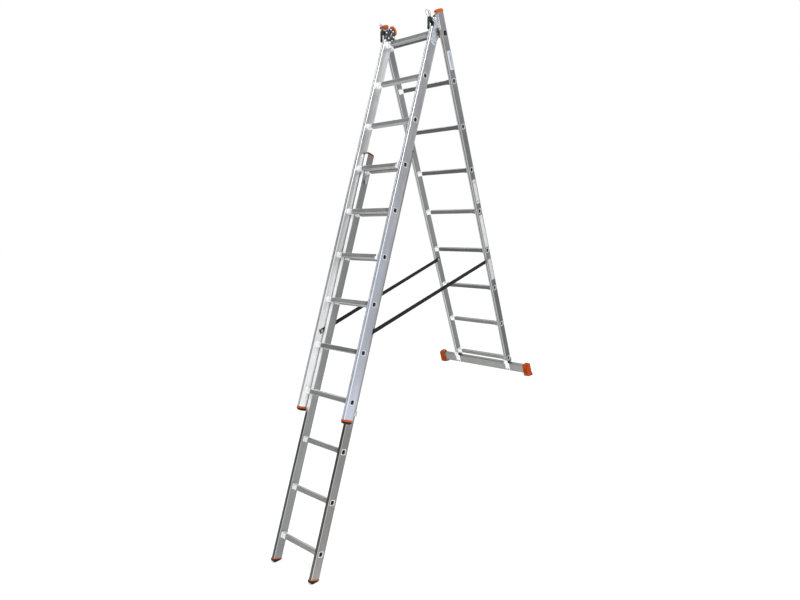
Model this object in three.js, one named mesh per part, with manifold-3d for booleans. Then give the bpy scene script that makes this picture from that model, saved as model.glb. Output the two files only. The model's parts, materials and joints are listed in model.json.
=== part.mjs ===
// Three-section combination ladder, standing as an uneven A-frame: a front
// section, an extension section that slides behind it, and a wider rear section
// hinged on its own top rung and carried by a stabiliser bar.
// Millimetres, +Z up, +X across the rungs, +Y from the climbing side to the back.
// The origin is on the ground, under the middle of the ladder.
import * as THREE from "three";
import { mergeVertices } from "three/addons/utils/BufferGeometryUtils.js";
import Module from "manifold-3d";

const wasm = await Module();
wasm.setup();

// ---------------------------------------------------------------- dimensions
const PITCH = 280; // rung spacing along every section
const RUNG_COUNT = 9; // rungs per section
const FRONT_LEAN = THREE.MathUtils.degToRad(18.5); // from the vertical
const REAR_LEAN = THREE.MathUtils.degToRad(19.8); // from the vertical
const TOP_RUNG = { y: 60.7739, z: 3081.4747 }; // front top rung, from the origin
const HINGE = { y: 56, z: 1 }; // rear top rung, from the front top rung

const GAP = 0.3; // assembly gap between touching pieces
const WALL = 2; // stile wall
const OVERCUT = 5; // how far cutting tools run past the piece
const WELD = 1e-4; // vertices closer than this are merged

// Each section lies in its leg frame: Z runs up the leg and Y points backwards.
//   half          outer half width of the section
//   width, depth  stile size along X and Y
//   top, bottom   stile ends, from the section's top rung
//   y, drop       rung plane, and top rung below the top of the leg frame
//   overhang      rung ends beyond the stiles' outer faces
const FRONT = {
  half: 207, width: 24, depth: 70, top: 22, bottom: -2338, y: 0, drop: 0, overhang: 0.8,
};
const EXTENSION = {
  half: 179, width: 22, depth: 62, top: 106, bottom: -2374, y: 46, drop: 3 * PITCH, overhang: 0.7,
};
const REAR = {
  half: 238, width: 25, depth: 52, top: 120, bottom: -2276, y: 0, drop: 0, overhang: 0.8,
};
const FRONT_TOP_RUNG_OVERHANG = -0.2; // this rung ends just inside the stile faces

const RUNG = { size: 29.4, chamfer: 6.5, wall: 1.6, innerChamfer: 5.6 };
const RUNG_HOLE_CHAMFER = 6.6;

const MATERIALS = {
  aluminium: { color: 0xb9bcc2, roughness: 0.38, metalness: 0.9 },
  orange: { color: 0xd4430c, roughness: 0.5, metalness: 0 },
  blackRubber: { color: 0x1b1b1d, roughness: 0.85, metalness: 0 },
  zinc: { color: 0xc9ccd2, roughness: 0.32, metalness: 0.95 },
  darkSteel: { color: 0x3a423f, roughness: 0.45, metalness: 0.7 },
  webbing: { color: 0x17171a, roughness: 0.9, metalness: 0 },
};

// ------------------------------------------------------------------ outlines
const offset = (outline, y, z) => outline.map(([dy, dz]) => [y + dy, z + dz]);

function circle(y, z, radius, segments) {
  return Array.from({ length: segments }, (_, i) => {
    const angle = (i / segments) * 2 * Math.PI;
    return [y + radius * Math.cos(angle), z + radius * Math.sin(angle)];
  });
}

// Square of the given half size with chamfered corners.
function chamferedSquare(y, z, half, chamfer) {
  const flat = half - chamfer;
  const corners = [
    [-flat, -half], [flat, -half],
    [half, -flat], [half, flat],
    [flat, half], [-flat, half],
    [-half, flat], [-half, -flat],
  ];
  return offset(corners, y, z);
}

// --------------------------------------------------------------- basic forms
// Outline of [x, y] points swept along Z.
function alongZ(outline, z0, z1) {
  const shape = new THREE.Shape(outline.map(([x, y]) => new THREE.Vector2(x, y)));
  const options = { depth: z1 - z0, bevelEnabled: false, steps: 1 };
  return new THREE.ExtrudeGeometry(shape, options).translate(0, 0, z0);
}

// Outline of [y, z] points swept along X.
function alongX(outline, x0, x1) {
  const turnAxes = new THREE.Matrix4().set(0, 0, 1, 0, 1, 0, 0, 0, 0, 1, 0, 0, 0, 0, 0, 1);
  return alongZ(outline, x0, x1).applyMatrix4(turnAxes);
}

function box([x0, x1], [y0, y1], [z0, z1]) {
  const geometry = new THREE.BoxGeometry(x1 - x0, y1 - y0, z1 - z0);
  return geometry.translate((x0 + x1) / 2, (y0 + y1) / 2, (z0 + z1) / 2);
}

// ------------------------------------------------------------ solid modelling
// Indexed copy with positions only and shared corners.
function weld(source) {
  const geometry = source.clone();
  for (const key of Object.keys(geometry.attributes)) {
    if (key !== "position") geometry.deleteAttribute(key);
  }
  return mergeVertices(geometry, WELD);
}

function toSolid(geometry) {
  const { attributes, index } = weld(geometry);
  const mesh = new wasm.Mesh({
    numProp: 3,
    vertProperties: attributes.position.array,
    triVerts: new Uint32Array(index.array),
  });
  return new wasm.Manifold(mesh);
}

function toGeometry(solid) {
  const { numVert, numProp, vertProperties, triVerts } = solid.getMesh();
  const positions = new Float32Array(numVert * 3);
  for (let i = 0; i < numVert; i++) {
    positions.set(vertProperties.subarray(i * numProp, i * numProp + 3), i * 3);
  }
  return indexedGeometry(positions, new Uint32Array(triVerts));
}

function indexedGeometry(positions, indices) {
  const geometry = new THREE.BufferGeometry();
  geometry.setAttribute("position", new THREE.BufferAttribute(positions, 3));
  geometry.setIndex(new THREE.BufferAttribute(indices, 1));
  geometry.computeVertexNormals();
  return geometry;
}

function join(...parts) {
  return toGeometry(parts.map(toSolid).reduce((sum, part) => sum.add(part)));
}

function cut(body, ...tools) {
  return toGeometry(tools.reduce((rest, tool) => rest.subtract(toSolid(tool)), toSolid(body)));
}

// Mirror image in X, with the triangles turned to face outwards again.
function mirrorX(source) {
  const geometry = source.index ? source.clone() : weld(source);
  geometry.scale(-1, 1, 1);
  const index = geometry.index.array;
  for (let i = 0; i < index.length; i += 3) {
    [index[i + 1], index[i + 2]] = [index[i + 2], index[i + 1]];
  }
  geometry.computeVertexNormals();
  return geometry;
}

function add(group, name, geometry, material) {
  const mesh = new THREE.Mesh(geometry, new THREE.MeshStandardMaterial(MATERIALS[material]));
  mesh.name = name;
  group.add(mesh);
}

// A piece on the +X side and its mirror image.
function addPair(group, name, geometry, material) {
  add(group, `${name}_right`, geometry, material);
  add(group, `${name}_left`, mirrorX(geometry), material);
}

// ---------------------------------------------------------- stiles and rungs
const innerFace = (section) => section.half - section.width;
const rungHeight = (section, i) => -section.drop - PITCH * i;

// Hollow stile on the +X side, with a through hole for each rung.
function stile(section) {
  const { half, depth, y, drop } = section;
  const inner = innerFace(section);
  const bottom = section.bottom - drop;
  const top = section.top - drop;
  const bore = box(
    [inner + WALL, half - WALL],
    [y - depth / 2 + WALL, y + depth / 2 - WALL],
    [bottom - OVERCUT, top + OVERCUT],
  );
  const holes = Array.from({ length: RUNG_COUNT }, (_, i) => {
    const z = rungHeight(section, i);
    const outline = chamferedSquare(y, z, RUNG.size / 2 + GAP, RUNG_HOLE_CHAMFER);
    return alongX(outline, inner - OVERCUT, half + OVERCUT);
  });
  const body = box([inner, half], [y - depth / 2, y + depth / 2], [bottom, top]);
  return cut(body, bore, ...holes);
}

function rung(halfLength, y, z) {
  const outside = chamferedSquare(y, z, RUNG.size / 2, RUNG.chamfer);
  const inside = chamferedSquare(y, z, RUNG.size / 2 - RUNG.wall, RUNG.innerChamfer);
  const cutLength = halfLength + OVERCUT;
  return cut(alongX(outside, -halfLength, halfLength), alongX(inside, -cutLength, cutLength));
}

function addSection(group, name, section, topRungOverhang = section.overhang) {
  addPair(group, `${name}_stile`, stile(section), "aluminium");
  for (let i = 0; i < RUNG_COUNT; i++) {
    const halfLength = section.half + (i === 0 ? topRungOverhang : section.overhang);
    const geometry = rung(halfLength, section.y, rungHeight(section, i));
    add(group, `${name}_rung_${i + 1}`, geometry, "aluminium");
  }
}

// ------------------------------------------------------ stile caps and feet
// A block on one end of a stile, joined to a plug in its tube. The outline is
// [y, z] from the middle of the stile's end, and plug is its [low, high] z;
// inboard and outboard are the block's overhangs past the stile's faces.
function endPiece(section, end, { outline, plug, inboard, outboard }) {
  const { half, depth, y, drop } = section;
  const z = section[end] - drop;
  const inner = innerFace(section);
  const inset = WALL + GAP;
  return join(
    alongX(offset(outline, y, z), inner - inboard, half + outboard),
    box(
      [inner + inset, half - inset],
      [y - depth / 2 + inset, y + depth / 2 - inset],
      [z + plug[0], z + plug[1]],
    ),
  );
}

function frontFootCap() {
  const outline = [[-36, -GAP], [-36, -18], [-31, -25], [31, -25], [36, -18], [36, -GAP]];
  return endPiece(FRONT, "bottom", { outline, plug: [-1, 30], inboard: 0.8, outboard: 1.2 });
}

function extensionTopCap() {
  const side = EXTENSION.depth / 2;
  const outline = [
    [-side - 0.6, GAP], [side + 0.3, GAP],
    [side + 0.3, 9], [side - 7, 15],
    [-side + 6, 15], [-side - 0.6, 9],
  ];
  return endPiece(EXTENSION, "top", { outline, plug: [-25, 1], inboard: 0.8, outboard: 0.5 });
}

// The middle of the sole is level when the ladder stands.
function extensionFoot() {
  const side = EXTENSION.depth / 2;
  const sole = (y) => [y, -20 + y * Math.tan(FRONT_LEAN)];
  const outline = [
    [-side - 1.5, -GAP], [-side - 1.5, -9],
    [-side + 2.5, -16.5], [-side + 10, -22.5],
    sole(-side + 19), sole(-side + 42),
    [-side + 53, -10.5],
    [side + 1.5, -4.5], [side + 1.5, -GAP],
  ];
  return endPiece(EXTENSION, "bottom", { outline, plug: [-1, 35], inboard: 1.5, outboard: 1.5 });
}

function rearTopCap() {
  const outline = [
    [-28, GAP], [27.5, GAP], [27.5, 12], [18, 20],
    [-20, 20], [-34, 12], [-36, 7], [-30, 5],
  ];
  return endPiece(REAR, "top", { outline, plug: [-25, 1], inboard: 1.4, outboard: 1.5 });
}

// ------------------------------------------------------------ hinge and lock
const CHEEK = { thick: 3, gap: 0.4 }; // gap to the stile's face
const EYE = { radius: 18.9, ringRadius: 27, segments: 20 };
const TIE = { y: 14, z: 100, radius: 6 };
const LEVER_PIN = { y: -37, z: 64, radius: 4 };
const PIN_HOLE_RADIUS = 4.5; // in the locking lever and in the rung latch
const PIN_SEGMENTS = 12;

// Cheek outlines, [y, z] from the front top rung; both end in the same top.
const CHEEK_TOP = [
  [34, 60], [36, 96], [24, 112], [-8, 115], [-20, 108], [-24, 86],
  [-40, 76], [-47, 70], [-47, 57], [-40, 52], [-24, 48],
];
const OUTER_CHEEK = [[-24, -78], [18, -78], [33, -30], [56, 18], ...CHEEK_TOP];
const INNER_CHEEK = [[-22, 27], [33, 27], ...CHEEK_TOP];
const CHEEK_SLOT = [[0, 60], [9, 60], [12, 86], [3, 86]];

// Two steel cheeks on a front stile's top, tied by a web, a tie and the lever's
// pin. The outer cheek closes round the rear section's top rung.
function hingeBracket() {
  const outer = FRONT.half + CHEEK.gap;
  const inner = innerFace(FRONT) - CHEEK.gap;
  const outerEnd = outer + CHEEK.thick;
  const innerEnd = inner - CHEEK.thick;
  const across = [inner - 1, outer + 1]; // from cheek to cheek, set into both
  // the hinge axis in the front leg's frame
  const axisY = HINGE.y * Math.cos(FRONT_LEAN) - HINGE.z * Math.sin(FRONT_LEAN);
  const axisZ = HINGE.y * Math.sin(FRONT_LEAN) + HINGE.z * Math.cos(FRONT_LEAN);

  const ring = circle(axisY, axisZ, EYE.ringRadius, EYE.segments);
  const eye = circle(axisY, axisZ, EYE.radius, EYE.segments);
  const tie = circle(TIE.y, TIE.z, TIE.radius, PIN_SEGMENTS);
  const pin = circle(LEVER_PIN.y, LEVER_PIN.z, LEVER_PIN.radius, PIN_SEGMENTS);
  const body = join(
    alongX(OUTER_CHEEK, outer, outerEnd),
    alongX(ring, outer, outerEnd),
    alongX(INNER_CHEEK, innerEnd, inner),
    box(across, [-18, 30], [27, 30]),
    alongX(tie, ...across),
    alongX(pin, ...across),
  );
  return cut(
    body,
    alongX(eye, outer - OVERCUT, outerEnd + OVERCUT),
    alongX(CHEEK_SLOT, innerEnd - OVERCUT, outerEnd + OVERCUT),
  );
}

const LEVER_INSET = 7; // from each side face of the stile
// [y, z] from the pin
const LEVER_OUTLINE = [
  [8, -5], [8, 5], [3, 9], [-24, 6], [-36, -4], [-37, -16],
  [-18, -68], [-5, -68], [-4, -62], [-19, -18], [-5, -9],
];

// Sweeps an outline given from its pivot, and bores the pin hole there.
function pivotedArm(outline, { y, z }, x0, x1) {
  const hole = circle(y, z, PIN_HOLE_RADIUS, PIN_SEGMENTS);
  return cut(alongX(offset(outline, y, z), x0, x1), alongX(hole, x0 - OVERCUT, x1 + OVERCUT));
}

// Bar in front of a front stile's top, turning on the bracket's pin.
function lockLever() {
  const x0 = innerFace(FRONT) + LEVER_INSET;
  const x1 = FRONT.half - LEVER_INSET;
  return pivotedArm(LEVER_OUTLINE, LEVER_PIN, x0, x1);
}

// Slotted plate on the front face of a rear stile's top, with a flange on the
// stile's inner face.
function rearHingePlate() {
  const height = [22, 112];
  const inner = innerFace(REAR);
  const back = -REAR.depth / 2 - GAP;
  const front = back - 2;
  const flangeInner = inner - 1.9;
  const face = box([flangeInner, REAR.half - 1], [front, back], height);
  const flange = box([flangeInner, inner - GAP], [front, 16], height);
  const slot = box([inner + 5, inner + 13], [front - OVERCUT, back + OVERCUT], [58, 102]);
  return cut(join(face, flange), slot);
}

// ----------------------------------------------------------- guide and latch
// Hook at a front stile's bottom, round the back of the extension stile, so
// that the two sections stay together as they slide.
function guideBracket() {
  const inner = innerFace(FRONT);
  const outer = FRONT.half - 1;
  const lipEnd = 172;
  const frontStileBack = FRONT.depth / 2;
  const extensionBack = EXTENSION.y + EXTENSION.depth / 2;
  const outline = [
    [inner - 1.6, frontStileBack + 0.4],
    [outer, frontStileBack + 0.4],
    [outer, frontStileBack + 3],
    [inner + 1, frontStileBack + 3],
    [inner + 1, extensionBack + 3.4],
    [lipEnd, extensionBack + 3.4],
    [lipEnd, extensionBack + 0.9],
    [inner - 1.6, extensionBack + 0.9],
  ];
  return alongZ(outline, FRONT.bottom + 22, FRONT.bottom + 52);
}

const LATCH_PIN = { y: 42, z: -EXTENSION.drop - 42, radius: 4 };
const LATCH_FACE = innerFace(EXTENSION) - GAP; // plate's face towards the stile
// [y, z] from the latch pin
const LATCH_PLATE = [[-14, -18], [25, -18], [27, 16], [17, 24], [-7, 24], [-16, 12]];
const LATCH_ARM = [
  [-7, 4], [0, 8], [7, 4], [11, -20], [15, -34], [10, -40], [1, -35], [-4, -16],
];

// Plate on an extension stile's inner face, near its top, with the latch's pin.
function latchBracket() {
  const { y, z, radius } = LATCH_PIN;
  return join(
    alongX(offset(LATCH_PLATE, y, z), LATCH_FACE - 2.5, LATCH_FACE),
    alongX(circle(y, z, radius, PIN_SEGMENTS), LATCH_FACE - 13, LATCH_FACE - 1),
  );
}

// Pawl that hangs clear and swings up under a front rung.
function rungLatch() {
  return pivotedArm(LATCH_ARM, LATCH_PIN, LATCH_FACE - 10, LATCH_FACE - 5);
}

// ---------------------------------------------------------------- stabiliser
// top and bottom are in the rear leg's frame
const BAR = { half: 378, depth: 30, wall: 2, top: -2279, bottom: -2339 };
const BRACKET = { halfWidth: 16, barGap: 0.4, thick: 2.5 };

// Cross bar under the rear stiles.
function stabiliserBar() {
  const { half, depth, wall, top, bottom } = BAR;
  const side = depth / 2;
  return cut(
    box([-half, half], [-side, side], [bottom, top]),
    box(
      [-half - OVERCUT, half + OVERCUT],
      [-side + wall, side - wall],
      [bottom + wall, top - wall],
    ),
  );
}

// U round the bar, stepping out over shelves to wings on the rear stile's front
// and back faces.
function stabiliserBracket() {
  const { top, bottom } = BAR;
  const middle = REAR.half - REAR.width / 2;
  const width = [middle - BRACKET.halfWidth, middle + BRACKET.halfWidth];
  const near = BAR.depth / 2 + BRACKET.barGap;
  const far = near + BRACKET.thick;
  const wingNear = REAR.depth / 2 + 0.4;
  const wingFar = REAR.depth / 2 + 2.8;
  const channel = [
    [-far, top - 1], [-far, bottom - 3],
    [far, bottom - 3], [far, top - 1],
    [near, top - 1], [near, bottom - 0.4],
    [-near, bottom - 0.4], [-near, top - 1],
  ];
  // near y, far y, low z, high z; each is repeated on the front side
  const plates = [
    [near + 0.1, far, top - 2, top + 1.2], // ears on the U
    [near, wingFar, top + 0.6, top + 2.6], // shelves
    [wingNear, wingFar, top + 0.6, top + 48], // wings
  ].flatMap(([y0, y1, low, high]) => [
    box(width, [-y1, -y0], [low, high]),
    box(width, [y0, y1], [low, high]),
  ]);
  return join(alongX(channel, ...width), ...plates);
}

// Foot closing the bar's end; its sole is level when the ladder stands.
function stabiliserFoot() {
  const { half, top, bottom } = BAR;
  const side = BAR.depth / 2 + GAP;
  const inner = half - 18;
  const level = (y) => bottom - 24 - y * Math.tan(REAR_LEAN);
  const outline = [
    [-21, top + 8], [-24, top - 4],
    [-26, level(-26)], [30, level(30)],
    [32, level(32) + 8], [23, bottom - 8], [21, top + 8],
  ];
  const socket = box([inner - OVERCUT, half + GAP], [-side, side], [bottom - GAP, top + GAP]);
  return cut(alongX(outline, inner, half + 20), socket);
}

// -------------------------------------------------------------------- straps
// front and rear: distance down each leg from its top rung
const STRAP = { width: 25, thick: 1.4, front: 1876, rear: 1481 };

// Webbing from the front stile's inner face to the rear stile's inner face.
function strap() {
  const frontX = innerFace(FRONT) - 1.2;
  const rearX = innerFace(REAR) - 1.3;
  const start = new THREE.Vector3(
    frontX,
    -STRAP.front * Math.sin(FRONT_LEAN),
    -STRAP.front * Math.cos(FRONT_LEAN),
  );
  const run = new THREE.Vector3(
    0,
    HINGE.y + STRAP.rear * Math.sin(REAR_LEAN) - start.y,
    HINGE.z - STRAP.rear * Math.cos(REAR_LEAN) - start.z,
  );
  const length = run.length();
  run.normalize();

  // distance along the run, x
  const stations = [
    [-14, frontX],
    [62, frontX],
    [length - 42, rearX],
    [length + 14, rearX],
  ];
  // corners of the section: across the webbing, along X
  const w = STRAP.width / 2;
  const t = STRAP.thick / 2;
  const corners = [[-w, -t], [w, -t], [w, t], [-w, t]];
  const positions = stations.flatMap(([distance, x]) => {
    const centre = start.clone().addScaledVector(run, distance);
    return corners.flatMap(([across, dx]) => [
      x + dx,
      centre.y - run.z * across,
      centre.z + run.y * across,
    ]);
  });

  const last = (stations.length - 1) * 4;
  const indices = [];
  for (let ring = 0; ring < last; ring += 4) {
    for (let k = 0; k < 4; k++) {
      const a = ring + k;
      const b = ring + ((k + 1) % 4);
      indices.push(a, b, b + 4, a, b + 4, a + 4);
    }
  }
  indices.push(0, 2, 1, 0, 3, 2); // start cap
  indices.push(last, last + 1, last + 2, last, last + 2, last + 3); // end cap
  return indexedGeometry(new Float32Array(positions), new Uint32Array(indices));
}

// ------------------------------------------------------------------ assembly
const root = new THREE.Group();
const ladder = new THREE.Group(); // origin on the front top rung
ladder.position.set(0, TOP_RUNG.y, TOP_RUNG.z);
root.add(ladder);

const frontLeg = new THREE.Group();
frontLeg.rotation.x = -FRONT_LEAN;
ladder.add(frontLeg);

const rearLeg = new THREE.Group();
rearLeg.position.set(0, HINGE.y, HINGE.z);
rearLeg.rotation.x = REAR_LEAN;
ladder.add(rearLeg);

addSection(frontLeg, "front", FRONT, FRONT_TOP_RUNG_OVERHANG);
addPair(frontLeg, "front_foot_cap", frontFootCap(), "orange");
addPair(frontLeg, "hinge_bracket", hingeBracket(), "zinc");
addPair(frontLeg, "hinge_lock_lever", lockLever(), "darkSteel");
addPair(frontLeg, "guide_bracket", guideBracket(), "zinc");

addSection(frontLeg, "extension", EXTENSION);
addPair(frontLeg, "extension_top_cap", extensionTopCap(), "orange");
addPair(frontLeg, "extension_foot", extensionFoot(), "blackRubber");
addPair(frontLeg, "latch_bracket", latchBracket(), "zinc");
addPair(frontLeg, "rung_latch", rungLatch(), "darkSteel");

addSection(rearLeg, "rear", REAR);
addPair(rearLeg, "rear_top_cap", rearTopCap(), "orange");
addPair(rearLeg, "rear_hinge_plate", rearHingePlate(), "zinc");
add(rearLeg, "stabiliser_bar", stabiliserBar(), "aluminium");
addPair(rearLeg, "stabiliser_bracket", stabiliserBracket(), "zinc");
addPair(rearLeg, "stabiliser_foot", stabiliserFoot(), "orange");

addPair(ladder, "strap", strap(), "webbing");

export default root;
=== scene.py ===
"""Looks of a multi position ladder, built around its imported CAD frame.

A front and a rear section lean together at a hinge under the top, an extension
section slides behind the front one, and a stabiliser bar crosses the rear feet.
Shapes are made in millimetres in a leg's own frame (X across with right at +X,
Y through the leg with the front at -Y, Z up the leg) and are then carried into
the row frame in metres.
"""

import json
import math
from functools import reduce
from types import SimpleNamespace

import bpy
import bmesh
from mathutils import Matrix, Vector


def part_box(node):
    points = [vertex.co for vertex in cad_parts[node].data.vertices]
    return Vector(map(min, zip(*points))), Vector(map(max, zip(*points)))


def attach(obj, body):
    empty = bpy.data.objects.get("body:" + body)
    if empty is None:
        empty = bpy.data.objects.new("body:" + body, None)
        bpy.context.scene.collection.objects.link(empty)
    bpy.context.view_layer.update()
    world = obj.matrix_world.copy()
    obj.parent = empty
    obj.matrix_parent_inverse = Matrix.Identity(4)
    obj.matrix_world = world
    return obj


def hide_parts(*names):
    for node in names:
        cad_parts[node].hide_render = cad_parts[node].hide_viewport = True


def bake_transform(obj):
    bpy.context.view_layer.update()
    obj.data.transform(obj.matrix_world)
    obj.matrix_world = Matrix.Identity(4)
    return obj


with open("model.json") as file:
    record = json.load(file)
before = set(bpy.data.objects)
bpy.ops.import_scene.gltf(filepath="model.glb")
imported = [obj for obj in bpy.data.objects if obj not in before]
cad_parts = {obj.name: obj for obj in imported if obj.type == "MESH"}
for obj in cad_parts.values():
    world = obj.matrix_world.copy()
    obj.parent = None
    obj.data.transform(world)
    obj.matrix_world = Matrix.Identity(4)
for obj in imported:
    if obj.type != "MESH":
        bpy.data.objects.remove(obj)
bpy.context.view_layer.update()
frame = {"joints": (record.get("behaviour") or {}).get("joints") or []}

scene = bpy.context.scene
rad = math.radians
MM = 0.001


# ------------------------------------------------------------------ leg frames
def centre(cad_node):
    low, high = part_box(cad_node)
    return (low + high) / 2


def joint(name):
    return next(j for j in frame["joints"] if j["name"] == name)


def leg_matrix(origin, up):
    up = Vector(up).normalized()
    across = Vector((1, 0, 0))
    matrix = Matrix.Identity(4)
    for row in range(3):
        for column, axis in enumerate((across, up.cross(across), up)):
            matrix[row][column] = axis[row] * MM
        matrix[row][3] = origin[row]
    return matrix


SLIDE = Vector(joint("extension_slide")["axis"])  # points down the front leg
FRONT_ORIGIN = centre("front_rung_1")
FRONT_ORIGIN.x = 0
REAR_ORIGIN = Vector(joint("leg_hinge")["pos_m"])
FRONT = leg_matrix(FRONT_ORIGIN, -SLIDE)
REAR = leg_matrix(REAR_ORIGIN, centre("rear_rung_1") - centre("rear_rung_9"))
PLAIN = Matrix.Diagonal((MM, MM, MM, 1))

# A seat is the frame a piece is made in and the body it rides.
ON_FRONT = (FRONT, "front_section")
ON_EXTENSION = (FRONT, "extension_section")
ON_REAR = (REAR, "rear_section")
ON_LEVER = (FRONT, "hinge_lever_{side}")
ON_LATCH = (FRONT, "latch_{side}")
SIDES = (("right", 1), ("left", -1))

# ------------------------------------------------------------------ main sizes
FRONT_LEAN, REAR_LEAN = rad(18.5), rad(19.8)
RUNGS = 9
PITCH = 280.0
DROP = 3 * PITCH  # first extension rung below the first front rung
SET_BACK = 46.0  # extension rung plane behind the front rung plane
EXT_Y0, EXT_Y1 = SET_BACK - 31.0, SET_BACK + 31.0
# right stiles: x0, x1, y0, y1
FRONT_BOX = (183, 207, -35, 35)
EXT_BOX = (157, 179, EXT_Y0, EXT_Y1)
REAR_BOX = (213, 238, -26, 26)
FRONT_FOOT = -2338
EXT_FOOT, EXT_TOP = -3214.0, 106.0 - DROP
REAR_TOP = 120.0
BAR_TOP, BAR_BOTTOM = -2279.0, -2339.0  # stabiliser bar, in the rear frame


# ------------------------------------------------------------------ outlines
def arc(cx, cy, radius, start, steps):
    """A quarter turn from the start angle in degrees."""
    angles = [rad(start + 90 * i / steps) for i in range(steps + 1)]
    return [(cx + radius * math.cos(a), cy + radius * math.sin(a)) for a in angles]


def rounded_rect(cx, cy, half_x, half_y, radius, steps=4):
    points = []
    for sx, sy, start in ((1, 1, 0), (-1, 1, 90), (-1, -1, 180), (1, -1, 270)):
        corner = cx + sx * (half_x - radius), cy + sy * (half_y - radius)
        points += arc(*corner, radius, start, steps)
    return points


def circle(cx, cy, radius, sides=20):
    angles = [2 * math.pi * i / sides for i in range(sides)]
    return [(cx + radius * math.cos(a), cy + radius * math.sin(a)) for a in angles]


def with_half_turn(points, cx=0, cy=0):
    """Half an outline, completed by turning it 180 degrees about its centre."""
    return points + [(2 * cx - x, 2 * cy - y) for x, y in points]


def offset(points, y, z):
    return [(y + py, z + pz) for py, pz in points]


# ------------------------------------------------------------------ shapes
# A shape is its points, its faces and a material index for each face.
def loft(rings, closed=False, mats=None):
    """Joins rings of equal count; mats holds a material index per band."""
    count = len(rings[0])
    bands = len(rings) if closed else len(rings) - 1
    mats = mats or [0] * bands
    points = [tuple(p) for ring in rings for p in ring]
    faces, indices = [], []
    for band in range(bands):
        a, b = band * count, ((band + 1) % len(rings)) * count
        for i in range(count):
            j = (i + 1) % count
            faces.append((a + i, a + j, b + j, b + i))
            indices.append(mats[band])
    if not closed:
        faces.append(tuple(range(count - 1, -1, -1)))
        faces.append(tuple(range(bands * count, (bands + 1) * count)))
        indices += [mats[0], mats[-1]]
    return points, faces, indices


def loft_along(axis, stations, closed=False, mats=None):
    """Joins flat outlines; stations are (place on the axis, outline)."""
    at = "xyz".index(axis)
    rings = [[(*p[:at], place, *p[at:]) for p in outline] for place, outline in stations]
    return loft(rings, closed, mats)


def prism(axis, outline, start, end):
    return loft_along(axis, [(start, outline), (end, outline)])


def join(*shapes):
    points, faces, indices = [], [], []
    for shape_points, shape_faces, shape_indices in shapes:
        base = len(points)
        points += shape_points
        faces += [tuple(i + base for i in face) for face in shape_faces]
        indices += shape_indices
    return points, faces, indices


def mirrored(shape):
    points, faces, indices = shape
    return [(-x, y, z) for x, y, z in points], [tuple(reversed(f)) for f in faces], indices


def frame_about(axis):
    axis = Vector(axis).normalized()
    side = Vector((0, 0, 1)) if abs(axis.z) < 0.9 else Vector((0, 1, 0))
    first = side.cross(axis).normalized()
    return first, axis.cross(first), axis


def ring_about(centre_point, first, second, radius, sides):
    angles = [2 * math.pi * i / sides for i in range(sides)]
    return [
        centre_point + first * (radius * math.cos(a)) + second * (radius * math.sin(a))
        for a in angles
    ]


def lathe(profile, at, axis, sides=20):
    """profile: (radius, height) from the base up; both ends are closed."""
    first, second, axis = frame_about(axis)
    at = Vector(at)
    return loft([ring_about(at + axis * h, first, second, r, sides) for r, h in profile])


def rivet(at, axis, r=4.2, h=2.2):
    dome_profile = [(r, -0.6), (r, 0.3), (r * 0.94, h * 0.45), (r * 0.72, h * 0.8), (r * 0.35, h)]
    return lathe(dome_profile, at, axis, 16)


def bolt(at, axis, radius, height, washer):
    """A washer and a hexagon head with a chamfered top and a dimple."""
    disc = lathe([(washer, -0.6), (washer, 0.8), (washer - 0.5, 1.2)], at, axis)
    head = [(1.0, 1.1), (1.0, height - 0.6), (0.86, height), (0.45, height), (0.38, height - 0.7)]
    return join(disc, lathe([(radius * 1.12 * k, h) for k, h in head], at, axis, 6))


def wire(points, radius, sides=8, smooth=6):
    """A round wire along a smooth line through the points."""
    points = [Vector(p) for p in points]
    last = len(points) - 1
    line = []
    for i in range(last):
        before, start = points[max(i - 1, 0)], points[i]
        end, after = points[i + 1], points[min(i + 2, last)]
        square = 2 * before - 5 * start + 4 * end - after
        cube = 3 * start - before - 3 * end + after
        for step in range(smooth):
            t = step / smooth
            line.append(0.5 * ((2 * start) + (end - before) * t + square * t * t + cube * t**3))
    line.append(points[-1])
    rings, first = [], None
    for i, place in enumerate(line):
        along = (line[min(i + 1, len(line) - 1)] - line[max(i - 1, 0)]).normalized()
        if first is None:
            first = frame_about(along)[0]
        first = (first - along * first.dot(along)).normalized()
        rings.append(ring_about(place, first, along.cross(first), radius, sides))
    return loft(rings)


# ------------------------------------------------------------------ objects
MATERIALS = {}
# The slot each first material maps to; make() works a piece's slot out from it, unless the piece
# names another, but does not keep it.
USUAL_SLOT = {
    "orange_plastic": "orange_plastic",
    "orange_plastic_foot": "orange_plastic",
    "black_rubber": "black_rubber",
    "dark_steel": "dark_steel",
    "black_plastic": "dark_steel",
    "webbing": "webbing",
    "grey_thread": "webbing",
}
for steel in (
    "zinc_plate", "zinc_dull", "bolt_steel", "clip_zinc", "yellow_chromate", "dark_cheek",
    "aluminium_clamp", "aluminium_swaged",
):
    USUAL_SLOT[steel] = "zinc_steel"


def bake(piece):
    """Applies the piece's modifiers."""
    graph = bpy.context.evaluated_depsgraph_get()
    graph.update()
    mesh = bpy.data.meshes.new_from_object(piece.evaluated_get(graph))
    old = piece.data
    piece.modifiers.clear()
    piece.data = mesh
    if old.users == 0:
        bpy.data.meshes.remove(old)


def raw(name, shape):
    points, faces, indices = shape
    mesh = bpy.data.meshes.new(name)
    mesh.from_pydata(points, [], faces)
    mesh.polygons.foreach_set("material_index", indices)
    work = bmesh.new()
    work.from_mesh(mesh)
    bmesh.ops.recalc_face_normals(work, faces=work.faces)
    work.to_mesh(mesh)
    work.free()
    piece = bpy.data.objects.new(name, mesh)
    scene.collection.objects.link(piece)
    return piece


def add_vectors(mesh, name, vectors):
    data = mesh.attributes.new(name, "FLOAT_VECTOR", "POINT").data
    data.foreach_set("vector", [value for vector in vectors for value in vector])


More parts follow.
